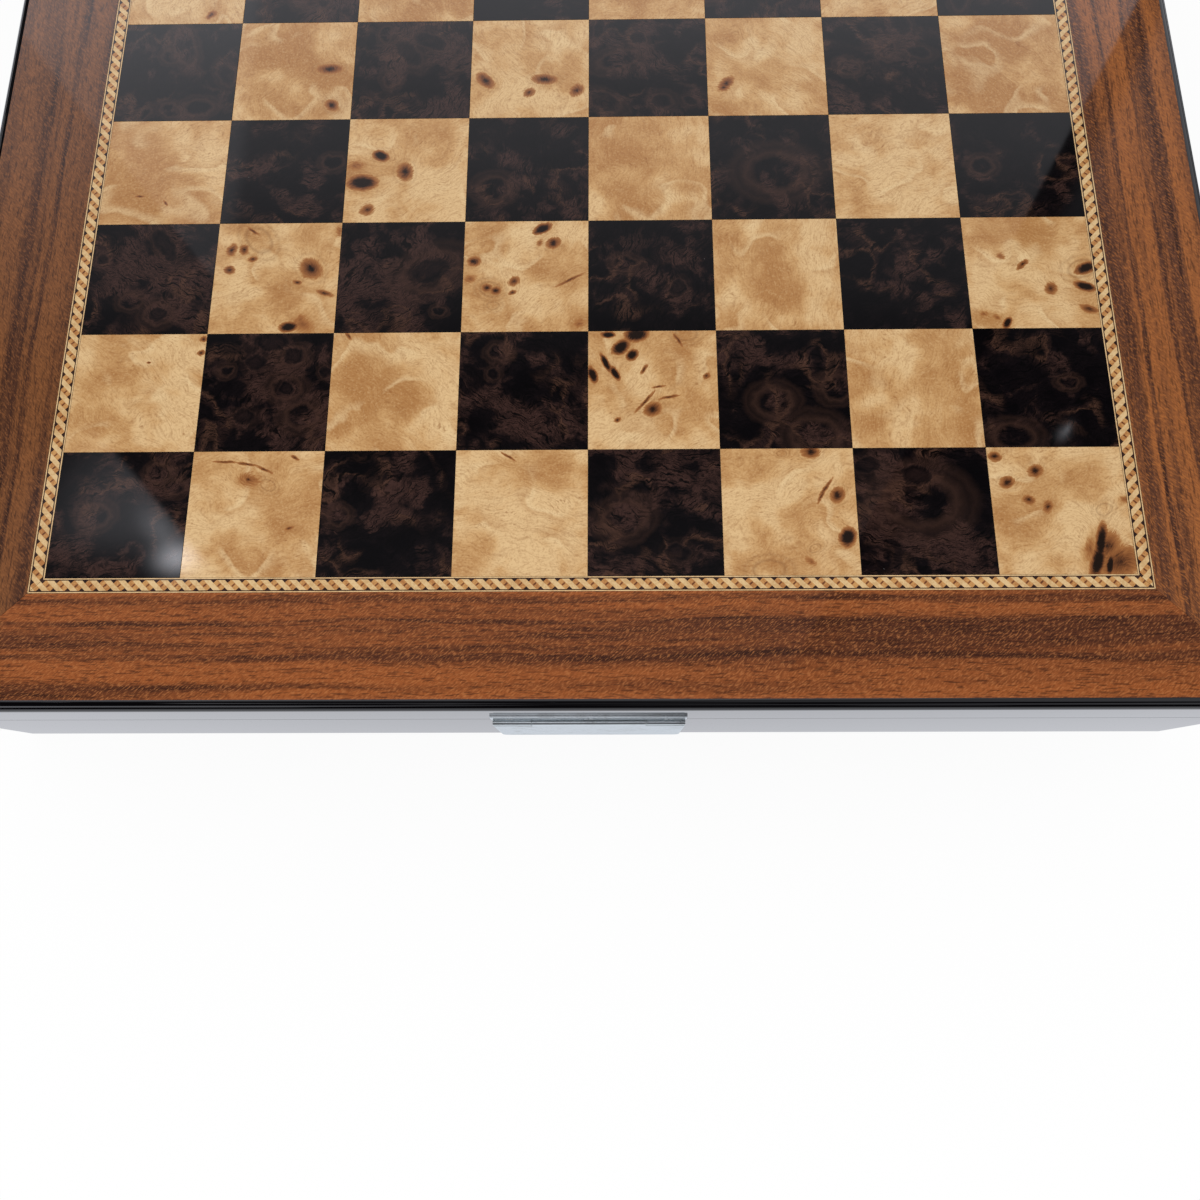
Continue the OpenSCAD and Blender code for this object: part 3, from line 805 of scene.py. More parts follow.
@dataclass(frozen=True)
class Board(Finish):
    """Plain unfinished board, with its grain along X."""

    light: tuple = tone(205, 170, 126)
    dark: tuple = tone(166, 124, 82)

    def material(self) -> Material:
        """Makes the material."""
        material, graph, shader = self.start("plain_board")
        spot = graph.place()
        grain = graph.effect(self.effects.grain, Vector=spot, Wave=1.6).outputs
        colour = graph.mix(graph.step(grain["Band"], 0.35, 0.65), self.dark, self.light)
        colour = graph.mix(graph.step(grain["Streak"], 0.45, 0.7, 0.0, 0.5), colour, self.dark)
        graph.feed(shader.inputs["Base Color"], colour)
        graph.feed(shader.inputs["Roughness"], graph.step(grain["Pore"], 0.0, 1.0, 0.62, 0.8))
        graph.feed(shader.inputs["Normal"], graph.bump(grain["Streak"], 0.05))
        return material


@dataclass(frozen=True)
class Felt(Finish):
    """Dense green wool felt with a short matted pile."""

    light: tuple = tone(30, 92, 62)
    dark: tuple = tone(14, 58, 38)
    fibre: tuple = tone(66, 128, 92)
    sheen: tuple = tone(120, 190, 150)
    pile_depth: float = 0.25

    def material(self) -> Material:
        """Makes the material."""
        material, graph, shader = self.start("green_felt")
        spot = graph.place()
        mat = graph.noise(spot, 0.9, 4.0, 0.7, 0.8)
        cloud = graph.noise(spot, 34.0, 3.0, 0.55)
        hair = graph.noise(graph.scaled(spot, 0.35, 1.0), 0.5, 2.0, 0.6, 2.0)
        cross = graph.noise(graph.scaled(spot, 1.0, 0.35), 0.5, 2.0, 0.6, 2.0)
        shade = graph.math("ADD", graph.math("MULTIPLY", mat, 0.65), graph.math("MULTIPLY", cloud, 0.35))
        colour = graph.mix(graph.step(shade, 0.36, 0.64), self.dark, self.light)
        strands = graph.math("MULTIPLY", graph.math("MAXIMUM", graph.step(hair, 0.6, 0.72),
                                                    graph.step(cross, 0.6, 0.72)), 0.4)
        graph.feed(shader.inputs["Base Color"], graph.mix(strands, colour, self.fibre))
        graph.feed(shader.inputs["Normal"], graph.bump(graph.math("ADD", mat, strands), self.pile_depth))
        for name, value in (("Roughness", 0.95), ("Specular IOR Level", 0.2), ("Sheen Weight", 0.35),
                            ("Sheen Roughness", 0.5), ("Sheen Tint", self.sheen)):
            graph.feed(shader.inputs[name], value)
        return material


@dataclass(frozen=True)
class NickelPlate(Finish):
    """Nickel-plated metal, polished along X."""

    name: str
    colour: tuple = tone(186, 191, 191)
    tarnish: tuple = tone(158, 156, 148)
    edge_tint: tuple = tone(222, 226, 228)
    smooth: float = 0.16
    rough: float = 0.3
    line_depth: float = 0.0012
    tarnish_share: float = 0.4

    def material(self) -> Material:
        """Makes the material."""
        material, graph, shader = self.start(self.name)
        spot = graph.place()
        wheel = graph.effect(self.effects.brushing, Vector=spot, Smooth=self.smooth, Rough=self.rough).outputs
        share = graph.math("MULTIPLY", wheel["Tarnish"], self.tarnish_share)
        graph.feed(shader.inputs["Base Color"], graph.mix(share, self.colour, self.tarnish))
        graph.feed(shader.inputs["Roughness"], wheel["Roughness"])
        graph.feed(shader.inputs["Normal"], graph.bump(wheel["Lines"], self.line_depth))
        graph.feed(shader.inputs["Metallic"], 1.0)
        graph.feed(shader.inputs["Specular Tint"], self.edge_tint)
        return material


@dataclass
class Finishes:
    """The finishes that several pieces share, each made once."""

    lacquer: Material = field(default_factory=BlackLacquer().material)
    board: Material = field(default_factory=Board().material)
    felt: Material = field(default_factory=Felt().material)
    hinge_nickel: Material = field(default_factory=NickelPlate("hinge_nickel").material)
    clasp_nickel: Material = field(default_factory=NickelPlate(
        "clasp_nickel", tone(224, 230, 232), smooth=0.14, rough=0.24).material)
    screw_nickel: Material = field(default_factory=NickelPlate(
        "screw_nickel", smooth=0.2, rough=0.36).material)


# ---------------------------------------------------------------------------------------------
# Modelling
# ---------------------------------------------------------------------------------------------


class Bench:
    """Blender's own modelling operators, called as by hand."""

    @staticmethod
    def clear() -> None:
        """Leaves edit mode and deselects everything."""
        if bpy.context.object is not None and bpy.context.object.mode != "OBJECT":
            bpy.ops.object.mode_set(mode="OBJECT")
        bpy.ops.object.select_all(action="DESELECT")

    @classmethod
    def pick(cls, piece: Object) -> None:
        """Selects one piece and makes it active."""
        cls.clear()
        piece.select_set(True)
        bpy.context.view_layer.objects.active = piece

    @classmethod
    def block(cls, name: str, low: Iterable[float], high: Iterable[float]) -> Object:
        """Adds a block between two corners, with its place in its mesh.

        Args:
            name: The piece's name.
            low: Its lowest corner, in metres.
            high: Its highest corner, in metres.

        Returns:
            The piece.
        """
        cls.clear()
        low, high = Vector(low), Vector(high)
        bpy.ops.mesh.primitive_cube_add(size=1.0, location=(low + high) / 2, scale=high - low)
        piece = bpy.context.object
        piece.name = piece.data.name = name
        bpy.ops.object.transform_apply(location=True, rotation=True, scale=True)
        return piece

    @classmethod
    def copy_of(cls, source: Object, name: str) -> Object:
        """Copies a piece with its own mesh.

        Args:
            source: The piece to copy.
            name: The copy's name.

        Returns:
            The copy.
        """
        piece = bpy.data.objects.new(name, source.data.copy())
        piece.data.name = name
        bpy.context.scene.collection.objects.link(piece)
        return piece

    @classmethod
    def merged_copy(cls, source: Object, name: str) -> Object:
        """Copies a node of loose triangles and joins them into plain faces.

        Args:
            source: The node.
            name: The copy's name.

        Returns:
            The copy.
        """
        piece = cls.copy_of(source, name)
        piece.data.materials.clear()
        cls.pick(piece)
        bpy.ops.object.mode_set(mode="EDIT")
        bpy.ops.mesh.select_all(action="SELECT")
        bpy.ops.mesh.remove_doubles(threshold=WELD)
        bpy.ops.mesh.dissolve_limited(angle_limit=math.radians(0.5))
        bpy.ops.object.mode_set(mode="OBJECT")
        return piece

    @classmethod
    def select_edges(cls, piece: Object, test: Callable[[Vector, Vector], bool]) -> int:
        """Opens a piece in edit mode with only the edges that pass a test selected.

        Args:
            piece: The piece.
            test: Takes an edge's middle and its direction, in metres.

        Returns:
            How many edges are selected.
        """
        cls.pick(piece)
        bpy.ops.object.mode_set(mode="EDIT")
        bpy.ops.mesh.select_mode(type="EDGE")
        bpy.ops.mesh.select_all(action="DESELECT")
        mesh = bmesh.from_edit_mesh(piece.data)
        count = 0
        for edge in mesh.edges:
            first, second = (vertex.co for vertex in edge.verts)
            if test((first + second) / 2, (second - first).normalized()):
                edge.select_set(True)
                count += 1
        mesh.select_flush_mode()
        bmesh.update_edit_mesh(piece.data)
        return count

    @classmethod
    def bevel_edges(cls, piece: Object, test: Callable[[Vector, Vector], bool], width: float,
                    segments: int = 3) -> None:
        """Rounds the edges that pass a test.

        Args:
            piece: The piece.
            test: Takes an edge's middle and its direction, in metres.
            width: The bevel's width, in millimetres.
            segments: How many faces the rounding has.
        """
        if cls.select_edges(piece, test):
            bpy.ops.mesh.bevel(offset=width * MM, offset_type="OFFSET", segments=segments,
                               affect="EDGES", clamp_overlap=True)
        bpy.ops.object.mode_set(mode="OBJECT")

    @classmethod
    def modify(cls, piece: Object, kind: str, **settings: object) -> None:
        """Gives a piece a modifier and applies it.

        Args:
            piece: The piece.
            kind: Blender's name of the modifier's type.
            settings: The modifier's own properties.
        """
        cls.pick(piece)
        modifier = piece.modifiers.new(kind.lower(), kind)
        for name, value in settings.items():
            setattr(modifier, name, value)
        bpy.ops.object.modifier_apply(modifier=modifier.name)

    @classmethod
    def bevel_corners(cls, piece: Object, width: float, angle_deg: float = 40.0) -> None:
        """Rounds every edge that is sharper than an angle, to a width in millimetres."""
        cls.modify(piece, "BEVEL", width=width * MM, segments=2, limit_method="ANGLE",
                   angle_limit=math.radians(angle_deg))

    @classmethod
    def smooth(cls, piece: Object, angle_deg: float) -> None:
        """Shades a piece smooth except at edges sharper than an angle, and keeps its large faces flat."""
        cls.pick(piece)
        bpy.ops.object.shade_smooth_by_angle(angle=math.radians(angle_deg))
        cls.modify(piece, "WEIGHTED_NORMAL", keep_sharp=True, weight=100)

    @classmethod
    def array(cls, piece: Object, count: int, step: float) -> None:
        """Repeats a piece along X, so many times in all, at a distance in millimetres."""
        cls.modify(piece, "ARRAY", count=count, use_relative_offset=False, use_constant_offset=True,
                   constant_offset_displace=(step * MM, 0.0, 0.0))

    @classmethod
    def cut(cls, piece: Object, point: Iterable[float], normal: Iterable[float]) -> None:
        """Cuts away what lies past a plane, on the side that its normal points to, and closes the cut.

        Args:
            piece: The piece.
            point: A point of the plane, in metres.
            normal: The plane's normal.
        """
        cls.pick(piece)
        bpy.ops.object.mode_set(mode="EDIT")
        bpy.ops.mesh.select_all(action="SELECT")
        bpy.ops.mesh.bisect(plane_co=point, plane_no=normal, use_fill=True, clear_outer=True,
                            threshold=WELD / 10)
        bpy.ops.object.mode_set(mode="OBJECT")

    @staticmethod
    def turn(piece: Object, angle: float, mirrored: bool = False) -> None:
        """Turns a piece's mesh about the box's middle axis, mirrored along X first if asked.

        Args:
            piece: The piece.
            angle: The angle in radians.
            mirrored: Whether it is mirrored before it is turned.
        """
        mesh = piece.data
        if mirrored:
            mesh.transform(Matrix.Scale(-1.0, 4, (1.0, 0.0, 0.0)))
            mesh.flip_normals()
        mesh.transform(Matrix.Rotation(angle, 4, "Z"))
        mesh.update()


@dataclass
class Workshop:
    """The frame, the finishes and the calls that hand a finished piece over."""

    frame: dict
    finishes: Finishes

    def node(self, name: str) -> Object:
        """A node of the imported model."""
        return self.frame["nodes"][name]

    def deliver(self, piece: Object, body: str, slot: str, finish: Material,
                replaced: Iterable[str] = ()) -> Object:
        """Finishes a piece and ties it to its body.

        Args:
            piece: The piece.
            body: The body that it moves with.
            slot: The record's material slot; not used.
            finish: Its material.
            replaced: The nodes that it stands for.

        Returns:
            The piece.
        """
        Bench.clear()
        piece.data.materials.clear()
        piece.data.materials.append(finish)
        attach(piece, body)
        if replaced:
            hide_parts(*replaced)
        LOG.info("%s: %d faces, on %s", piece.name, len(piece.data.polygons), body)
        return piece

    def dress(self, node: str, finish: Material) -> None:
        """Gives a node that keeps its shape its material."""
        piece = self.node(node)
        piece.data.materials.clear()
        piece.data.materials.append(finish)
        LOG.info("%s: dressed", node)


# ---------------------------------------------------------------------------------------------
# Sub-assemblies
# ---------------------------------------------------------------------------------------------


@dataclass
class LacqueredFrame:
    """The four walls of the base and the four rails of the lid, in black lacquer."""

    shop: Workshop
    edge_round: float = 0.35
    outside: float = 224.2

    def build(self) -> None:
        """Makes all eight from their nodes, with the long outer edges eased."""
        for side in Side:
            self._ease(f"base_{side.label}_wall", BASE, side)
            self._ease(f"lid_{side.label}_rail", LID, side)

    def _ease(self, node: str, body: str, side: Side) -> None:
        """Copies one node and rounds the edges where its outer face meets the flat ones.

        Args:
            node: The node.
            body: The body that it is on.
            side: The side of the box that it is on.
        """
        piece = Bench.merged_copy(self.shop.node(node), f"{node}_lacquered")
        lowest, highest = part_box(node)
        axis = 0 if side.crosswise else 1

        def outer(middle: Vector, direction: Vector) -> bool:
            """Whether an edge runs along the outer face's top or bottom."""
            if abs(direction.z) > ACROSS:
                return False
            near = abs(abs(middle[axis]) - self.outside * MM) < TOUCH
            return near and min(abs(middle.z - lowest.z), abs(middle.z - highest.z)) < TOUCH

        Bench.bevel_edges(piece, outer, self.edge_round)
        Bench.smooth(piece, 30.0)
        self.shop.deliver(piece, body, "black_lacquer", self.shop.finishes.lacquer, [node])


@dataclass(frozen=True)
class Figure:
    """What one square of burl shows: how brown it is, which way its grain lies, and its marks."""

    brownness: float
    lie_deg: float
    knots: tuple[Knot, ...]


def figure(brownness: float, lie_deg: float, *marks: tuple) -> Figure:
    """Puts a square's figure together from its marks, each the fields of a Knot in their order."""
    return Figure(brownness, lie_deg, tuple(Knot(*mark) for mark in marks))


EYE, SPOT, CRACK, BLACK, RING, BROWN, PALE, RUST, CHAR = KnotKind
# What the photo shows in the four near ranks. A mark without a kind is an eye.
FIGURES: dict[str, Figure] = {
    "a1": figure(0.45, 20, (36, 36, 5, 1.3, 0, BROWN), (33.7, 37, 2.4, 1.2, 0, RING),
        (40, 32, 2, 1.2, 0, RING), (10, 5, 6, 1.8, 0, BROWN), (14, 22, 3, 1.2, 0, RING)),
    "b1": figure(0.2, 6, (20, 34.5, 2.4, 1.6, -8, RUST), (19.6, 34.6, 0.9, 1.5, -8, SPOT),
        (11, 41.2, 0.45, 8, -4, CRACK), (18.6, 40.3, 0.45, 8, -9, CRACK), (24.8, 38.3, 0.45, 6, -25, CRACK),
        (26.5, 32.5, 1.6, 1.5, -30, RING), (29, 8, 9, 1.3, 80, BROWN), (34, 31, 5, 1.6, -25, BROWN),
        (35, 17, 0.5, 3, 20, CRACK), (35, 42.5, 0.5, 3, -30, CRACK), (21, 21, 2.6, 2.2, 15, PALE),
        (6, 12, 6, 1.5, 90, PALE)),
    "c1": figure(0.45, 30, (22, 22, 3, 5, 32, BROWN), (33, 20, 2.2, 5.5, 98, BROWN),
        (22, 33, 4, 1.6, 60, BROWN), (6, 38, 4, 1.5, 90, BROWN), (6.2, 21.4, 2.2, 1.2, 0, RING),
        (20, 8, 5, 2, 20, PALE), (41, 25, 4, 3, 90, PALE), (12, 31, 3.5, 3, 60, PALE)),
    "d1": figure(0.15, -8, (7, 10, 4, 1.9, 100, BROWN), (36, 36, 5, 2, -10, BROWN),
        (18, 42.5, 0.4, 6, -35, CRACK), (24, 18, 9, 1.6, 0, PALE)),
    "e1": figure(0.5, -12, (12.4, 20, 4.2, 1.25, 20, RING), (26, 33, 8, 1.5, -10, BROWN),
        (12, 21, 4, 1.2, 0, BROWN), (34, 12, 6, 2, 0, PALE), (30, 8, 2.4, 1.2, 0, BLACK),
        (10, 4, 4, 2, 0, BROWN), (4, 28, 3, 2.4, 90, PALE)),
    "f1": figure(0.24, 24, (30.7, 43.8, 2, 1.3, 0), (38.8, 28, 1.9, 1.3, 60),
        (35, 30.6, 0.55, 7, 55, CRACK), (33.4, 27.6, 0.5, 5, 60, CRACK), (41.3, 13.2, 2.2, 1.25, 70, BLACK),
        (30.4, 9.3, 1.2, 1.5, 30, RING), (28.6, 4.8, 1.2, 1.6, -30, RUST), (20.9, 43.1, 1, 1.5, 0, RING),
        (9, 11, 3.2, 1.1, 0, BROWN), (22, 8, 5, 2, 8, BROWN), (12, 38, 4, 1.6, 0, BROWN),
        (14, 24, 7, 1.4, 20, PALE), (15, 2, 3, 1.6, 0, RING)),
    "g1": figure(0.45, 0, (21.4, 25.9, 6.5, 1.35, 0, RING), (21, 35, 2.6, 1.4, 0, BLACK),
        (4.5, 38.8, 2.2, 1.5, 20, BLACK), (20, 12, 4, 2.4, -8, BROWN), (9, 29, 4, 1.4, 60, BROWN),
        (36, 34, 4, 1.5, 0, PALE), (36, 8, 5, 1.5, 20, BROWN), (15, 40, 3, 2.4, 20, BROWN),
        (24, 22, 4, 1.3, 0, PALE)),
    "h1": figure(0.28, 12, (2.6, 41.5, 1.5, 1.3, 0), (15.7, 36.4, 1.8, 1.2, 30), (5.9, 32.3, 1.7, 1.3, 20),
        (12.5, 26, 1.5, 1.2, -20, SPOT), (18.4, 23.5, 1.4, 1.4, 70, SPOT), (34.6, 11, 1.5, 3.6, 78, BLACK),
        (32.6, 4.4, 1.9, 2.6, 70, BLACK), (39.6, 4.2, 4.6, 1.5, 20, CHAR), (36.6, 9.6, 3, 1.6, 60, CHAR),
        (30.6, 8.5, 1.6, 2.2, 80, RUST), (39, 6.4, 0.7, 7, 30, CRACK), (40, 3, 0.7, 7, 6, CRACK),
        (37.6, 9.6, 0.6, 6, 48, CRACK), (36.4, 3.2, 1, 3, 78, BLACK), (44.5, 26, 1.3, 1.4, 0, RUST),
        (28, 31, 5, 1.3, 0, BROWN), (8, 17, 6, 1.3, 30, BROWN), (37, 22.5, 1.8, 1.4, 20, RING),
        (28, 41, 5, 2.2, -10, PALE), (26, 20, 3, 2.6, 40, PALE)),
    "a2": figure(0.36, -36, (44, 43, 0.9, 1.4, 0, SPOT), (43.5, 37.5, 0.9, 1.4, 20, SPOT),
        (25.5, 34, 0.35, 2, 0, CRACK), (11, 24, 5, 3.6, 86, BROWN), (40, 20, 6, 2.5, 90, PALE),
        (3, 30, 3, 2.5, 90, PALE)),
    "b2": figure(0.58, 40, (31.5, 36, 2.6, 1.2, 0, RING), (31.5, 36, 2, 1.2, 0, BLACK),
        (29.8, 23.6, 3, 1.25, 0, RING), (29.8, 23.6, 1.6, 1.2, 0, BLACK), (18, 33.7, 2.2, 1.2, 0, BLACK),
        (7.9, 30.4, 1.6, 1.2, 0, RING), (16.3, 13, 2, 1.4, 0, BLACK), (43.3, 29.8, 1.5, 1.1, 0),
        (23, 42, 2.6, 1.8, 0, BLACK), (22, 28, 4, 2.6, 58, BROWN), (30, 8, 5, 1.5, 0, BROWN),
        (4, 40, 5, 1.2, 0, PALE), (5, 15, 5, 1.4, 90, PALE), (36, 13, 3.4, 1.2, 0, RING)),
    "c2": figure(0.56, -42, (11, 32, 6, 1.5, 90, BROWN), (25, 16, 8, 1.2, 0, BROWN),
        (3, 40, 2.6, 1.6, -70, PALE), (38, 36, 7, 1.3, 0, PALE), (5.2, 43.8, 0.6, 3, -60, CRACK),
        (38, 12, 7, 1.6, 60, PALE)),
    "d2": figure(0.55, -28, (11.8, 28.7, 1.5, 1.2, 0), (13.5, 37, 2.2, 1.2, 0, RING),
        (26, 38, 5, 1.6, -30, BROWN), (16, 18, 4, 2.6, -38, BROWN), (33, 9, 3.4, 3, -4, BROWN),
        (41, 33, 4, 2.5, 90, PALE), (30, 24, 4, 1.3, 0, PALE), (6, 10, 3, 2.4, -40, PALE),
        (22, 42, 2.4, 1.5, 0, PALE)),
    "e2": figure(0.44, 34, (11.4, 38.6, 1.9, 1.5, 40, BLACK), (15.4, 35.6, 1.5, 1.3, 50, BLACK),
        (6.2, 32.6, 0.9, 3.4, 115, BLACK), (9.4, 28.6, 1, 2.4, 120, BLACK), (1.6, 28, 1.3, 2, 110, BLACK),
        (17, 43.6, 2.3, 1.5, 10, BLACK), (7, 43.6, 1, 2, 0, BLACK), (22.3, 14.8, 2.1, 1.25, 30),
        (19.6, 17.6, 0.5, 9, 50, CRACK), (28, 19.4, 0.5, 6, 12, CRACK), (34.6, 43.6, 2.4, 1.4, 0, RING),
        (31.6, 41.4, 0.5, 6, -58, CRACK), (19.4, 30, 0.6, 3, 55, CRACK), (24.5, 23.4, 0.4, 5, 12, CRACK),
        (41.3, 27.3, 0.9, 1.4, 40, SPOT), (10.3, 11, 0.7, 1.6, 40, SPOT), (29, 36, 5, 1.4, 80, BROWN),
        (34, 13, 6, 1.4, 30, BROWN), (15, 25, 2.6, 2, 50, PALE), (7, 9, 6, 1.4, 0, PALE),
        (26, 3.5, 5, 1.8, 0, PALE)),
    "f2": figure(0.42, 12, (19, 17.4, 3.9, 1.2, 0, RING), (19, 17.4, 2.2, 1.2, 0, BROWN),
        (41, 22.5, 3.4, 1.1, 0, RING), (32.6, 4.5, 4.8, 1.2, 0, RING), (26, 33, 3.4, 3, 12, BROWN),
        (6, 40, 3, 2.6, 50, BROWN), (9, 28, 2.6, 2.2, 60, BROWN), (18, 25.4, 3, 3, 4, PALE),
        (33, 21, 3.4, 2, 70, PALE), (34, 38, 3, 2.4, 0, PALE), (6, 14, 5, 1.6, 90, PALE)),
    "g2": figure(0.5, 86, (10, 10, 3.2, 1.6, 60, BROWN), (27.5, 25, 3.4, 3, 88, BROWN),
        (39, 33, 3.4, 2.6, 86, BROWN), (39.9, 4, 4.4, 1.4, 20, BROWN), (3, 22, 3.4, 2.2, 86, BROWN),
        (8.5, 17.5, 1.6, 3, 25, PALE), (19, 33, 4, 2, 86, PALE), (33, 16, 3, 2.4, 86, PALE),
        (19, 8, 3, 2, 60, PALE)),
    "h2": figure(0.26, 20, (11.2, 20, 3.4, 1.2, 0, BROWN), (32, 34, 2, 2.6, 50, BROWN),
        (31, 24, 1.6, 1.6, 0, RING), (10, 4, 3.4, 1.5, 0, RING), (8, 38, 7, 1.4, 0, PALE)),
    "a3": figure(0.6, -35, (26, 22, 8, 1.5, -30, BROWN), (26.4, 7.9, 3, 1.2, 0, RING),
        (26.4, 7.9, 1.8, 1.2, 0, BLACK), (3.4, 30.4, 1.5, 1.1, 0), (12, 26, 1.4, 6, 88, BROWN),
        (26, 36, 2.2, 2.6, -58, BLACK), (6, 8, 4, 1.5, 0, PALE), (38, 26, 3, 2, -40, BROWN),
        (16, 13, 2.2, 1.3, 0, RING)),
    "b3": figure(0.35, 16, (5.5, 33.9, 1.5, 1.5, 70, SPOT), (9.9, 33.9, 1.4, 1.3, 100, SPOT),
        (5.4, 25.7, 1.4, 1.2, 0, SPOT), (34.9, 26, 3, 1.25, -50), (34.9, 26.2, 0.7, 3, -62, BLACK),
        (30.4, 20.4, 0.9, 1.5, -20, SPOT), (13.4, 30, 0.9, 1.6, 0, SPOT), (12.6, 41.8, 0.5, 5, -35, CRACK),
        (28.6, 2.6, 1.6, 1.7, 10, BLACK), (33.5, 3.6, 2.6, 1.5, -30, RUST), (32.6, 5.4, 1.6, 1.4, 70, RUST),
        (44.2, 41.5, 1.1, 2, 90, RUST), (15, 38, 3.6, 1.5, -50, RING), (33, 38, 3.4, 1.4, 20, BROWN),
        (14, 9, 4.4, 2.4, 28, BROWN), (29, 14, 3, 2.4, 8, BROWN), (40.5, 16, 0.9, 3, -20, SPOT),
        (22, 22, 4, 2, 70, PALE), (9, 16, 4, 2, 10, PALE)),
    "c3": figure(0.52, 40, (33.2, 24.7, 3.4, 1.5, 28, BLACK), (33.2, 24.7, 5, 1.5, 28, RING),
        (9, 30, 5, 2, 60, BROWN), (22, 28, 2.2, 3.6, 55, BROWN), (38, 9, 4, 1.4, 0, PALE),
        (36.8, 8.5, 1.5, 1.2, 0, RING), (26, 8, 3, 2.4, 90, BROWN), (5, 12, 5, 1.4, 60, BROWN)),
    "d3": figure(0.46, 36, (28.3, 41.7, 1.5, 1.9, 30, BLACK), (32.2, 35.8, 1.8, 1.2, 30),
        (27.4, 35.8, 0.9, 1.6, 60, RUST), (3.8, 28.4, 1.7, 1.2, 0), (2.6, 21.2, 1.5, 1.3, 20, RUST),
        (9.8, 17, 2.6, 1.3, -20, RING), (8.6, 17.6, 1.3, 1.2, 0), (11.9, 16.4, 1.3, 1.2, 0),
        (18.3, 20.2, 1.5, 1.3, 40, SPOT), (17.9, 15.7, 0.7, 1.8, 30, SPOT),
        (38.4, 20.6, 0.55, 9, 28, CRACK), (41.8, 3, 1.4, 1.4, 40, RUST), (11, 10.4, 1.4, 1.4, 0, RING),
        (12, 34, 2.8, 1.8, 80, BROWN), (25, 24, 4, 1.3, 40, BROWN), (40, 34, 4, 1.3, 0, BROWN),
        (20, 36, 3, 2, 60, PALE), (16, 26, 2.4, 2.4, 80, PALE), (28, 8, 5, 1.6, 40, PALE),
        (37, 40, 3, 2.4, 30, PALE)),
    "e3": figure(0.4, 60, (13.5, 27, 2.2, 1.5, -10, RING), (26, 18, 2.2, 3, 80, BROWN),
        (32, 17, 2, 1.3, 60, BLACK), (36, 33, 3, 2.6, 62, BROWN), (6, 8, 6, 1.4, 0, PALE),
        (16, 14, 2.4, 2.4, 10, BROWN)),
    "f3": figure(0.56, 82, (20, 24, 5, 2.6, 84, BROWN), (4, 34, 3.4, 2.4, 86, BROWN),
        (14, 37, 1.6, 3.4, 80, PALE), (6.5, 17, 1.6, 3.4, 62, PALE), (38, 20, 6, 2, 84, PALE),
        (25, 4, 2.4, 1.6, 40, PALE), (13, 6, 3, 1.5, 60, PALE), (29, 8, 2.4, 2.6, 84, BROWN)),
    "g3": figure(0.44, 35, (36, 14.6, 2, 2.8, 12, BROWN), (30, 26, 1.8, 3.6, 45, BROWN),
        (36, 30, 1.4, 3.6, 35, BROWN), (23, 33, 3.4, 1.6, 80, BROWN), (40, 3, 2.4, 2.4, 0, BROWN),
        (33, 22, 1.6, 4, 38, PALE), (10, 22, 7, 1.5, 90, PALE)),
    "h3": figure(0.4, -6, (12.8, 28.8, 1.2, 1.2, 0, RUST), (20.3, 25.5, 0.9, 2.6, 42, SPOT),
        (29.2, 15.6, 1.8, 1.25, 75, SPOT), (42.6, 23.8, 1.6, 2.2, 22, BLACK),
        (41.4, 16.4, 1.4, 2.2, -18, BLACK), (41, 23.6, 3, 1.5, 20, RING), (41.6, 7.4, 1.3, 2.2, -20, SPOT),
        (12.4, 2.2, 1.1, 1.8, 55, BLACK), (9, 4.4, 1, 1.3, 0, RUST), (4.6, 5.6, 1, 1.3, 0, RUST),
        (26, 39, 5, 2.6, -4, BROWN), (14, 11, 2.6, 1.6, 60, BROWN), (24.5, 21, 3.4, 1.5, 70, PALE),
        (10, 20, 6, 1.6, 0, PALE), (35, 24, 2, 1.6, 70, PALE)),
    "a4": figure(0.66, 20, (14, 12, 0.4, 4, 0, CRACK), (24, 9, 0.4, 3, -50, CRACK),
        (20, 20, 8, 1.6, 20, BROWN), (38, 26, 6, 1.5, 60, PALE)),
    "b4": figure(0.42, 20, (22, 12, 2.2, 3, -30, BROWN), (31, 10, 1.8, 2.4, 60, BROWN),
        (6, 24, 3, 1.8, 60, BROWN), (40, 26, 2.2, 1.3, 0, RING)),
    "c4": figure(0.36, 26, (12.4, 28.6, 1.7, 1.5, -25, BLACK), (21.9, 21.5, 2.4, 1.35, 100),
        (6.3, 17, 2.6, 1.7, 0, BLACK), (3.4, 24.4, 1.9, 1.6, 0, RUST), (8.7, 5.4, 1.9, 1.15, 15, SPOT),
        (23, 8, 3.4, 1.6, 110, BROWN), (15, 14, 2.6, 2.6, 60, PALE), (34, 12, 6, 1.6, 0, PALE),
        (34, 24, 2.6, 1.6, 30, BROWN)),
    "d4": figure(0.4, 70, (10, 14, 3.6, 1.2, 0, RING), (30, 12, 1.8, 3.4, 75, BROWN),
        (18, 27, 3, 1.8, 20, BROWN), (40, 6, 3, 1.8, 10, BROWN)),
    "e4": figure(0.6, 84, (17, 20, 6, 2.4, 88, BROWN), (35, 3.4, 4.2, 1.5, 0, BROWN),
        (36, 9.2, 1.2, 5, 6, PALE), (29, 6, 1.2, 2.6, 60, PALE), (35, 24, 6, 1.8, 60, PALE),
        (3, 8, 3, 2, 80, PALE)),
    "f4": figure(0.32, 40, (12, 4, 4, 1.6, 0, PALE), (26, 6, 1.6, 2.2, 84, BROWN),
        (8, 10, 3, 1.6, 0, BROWN), (24, 20, 6, 1.3, 0, RING)),
    "g4": figure(0.3, 16, (8, 16, 3, 2.4, 70, BROWN), (28, 20, 8, 1.6, 10, PALE)),
    "h4": figure(0.12, 30, (10, 22, 2.6, 1.2, 0, RING), (12, 16, 1.4, 2, 0, BROWN),
        (14, 3, 3.4, 1.8, 0, PALE), (40, 8, 4, 1.4, 60, BROWN)),
}


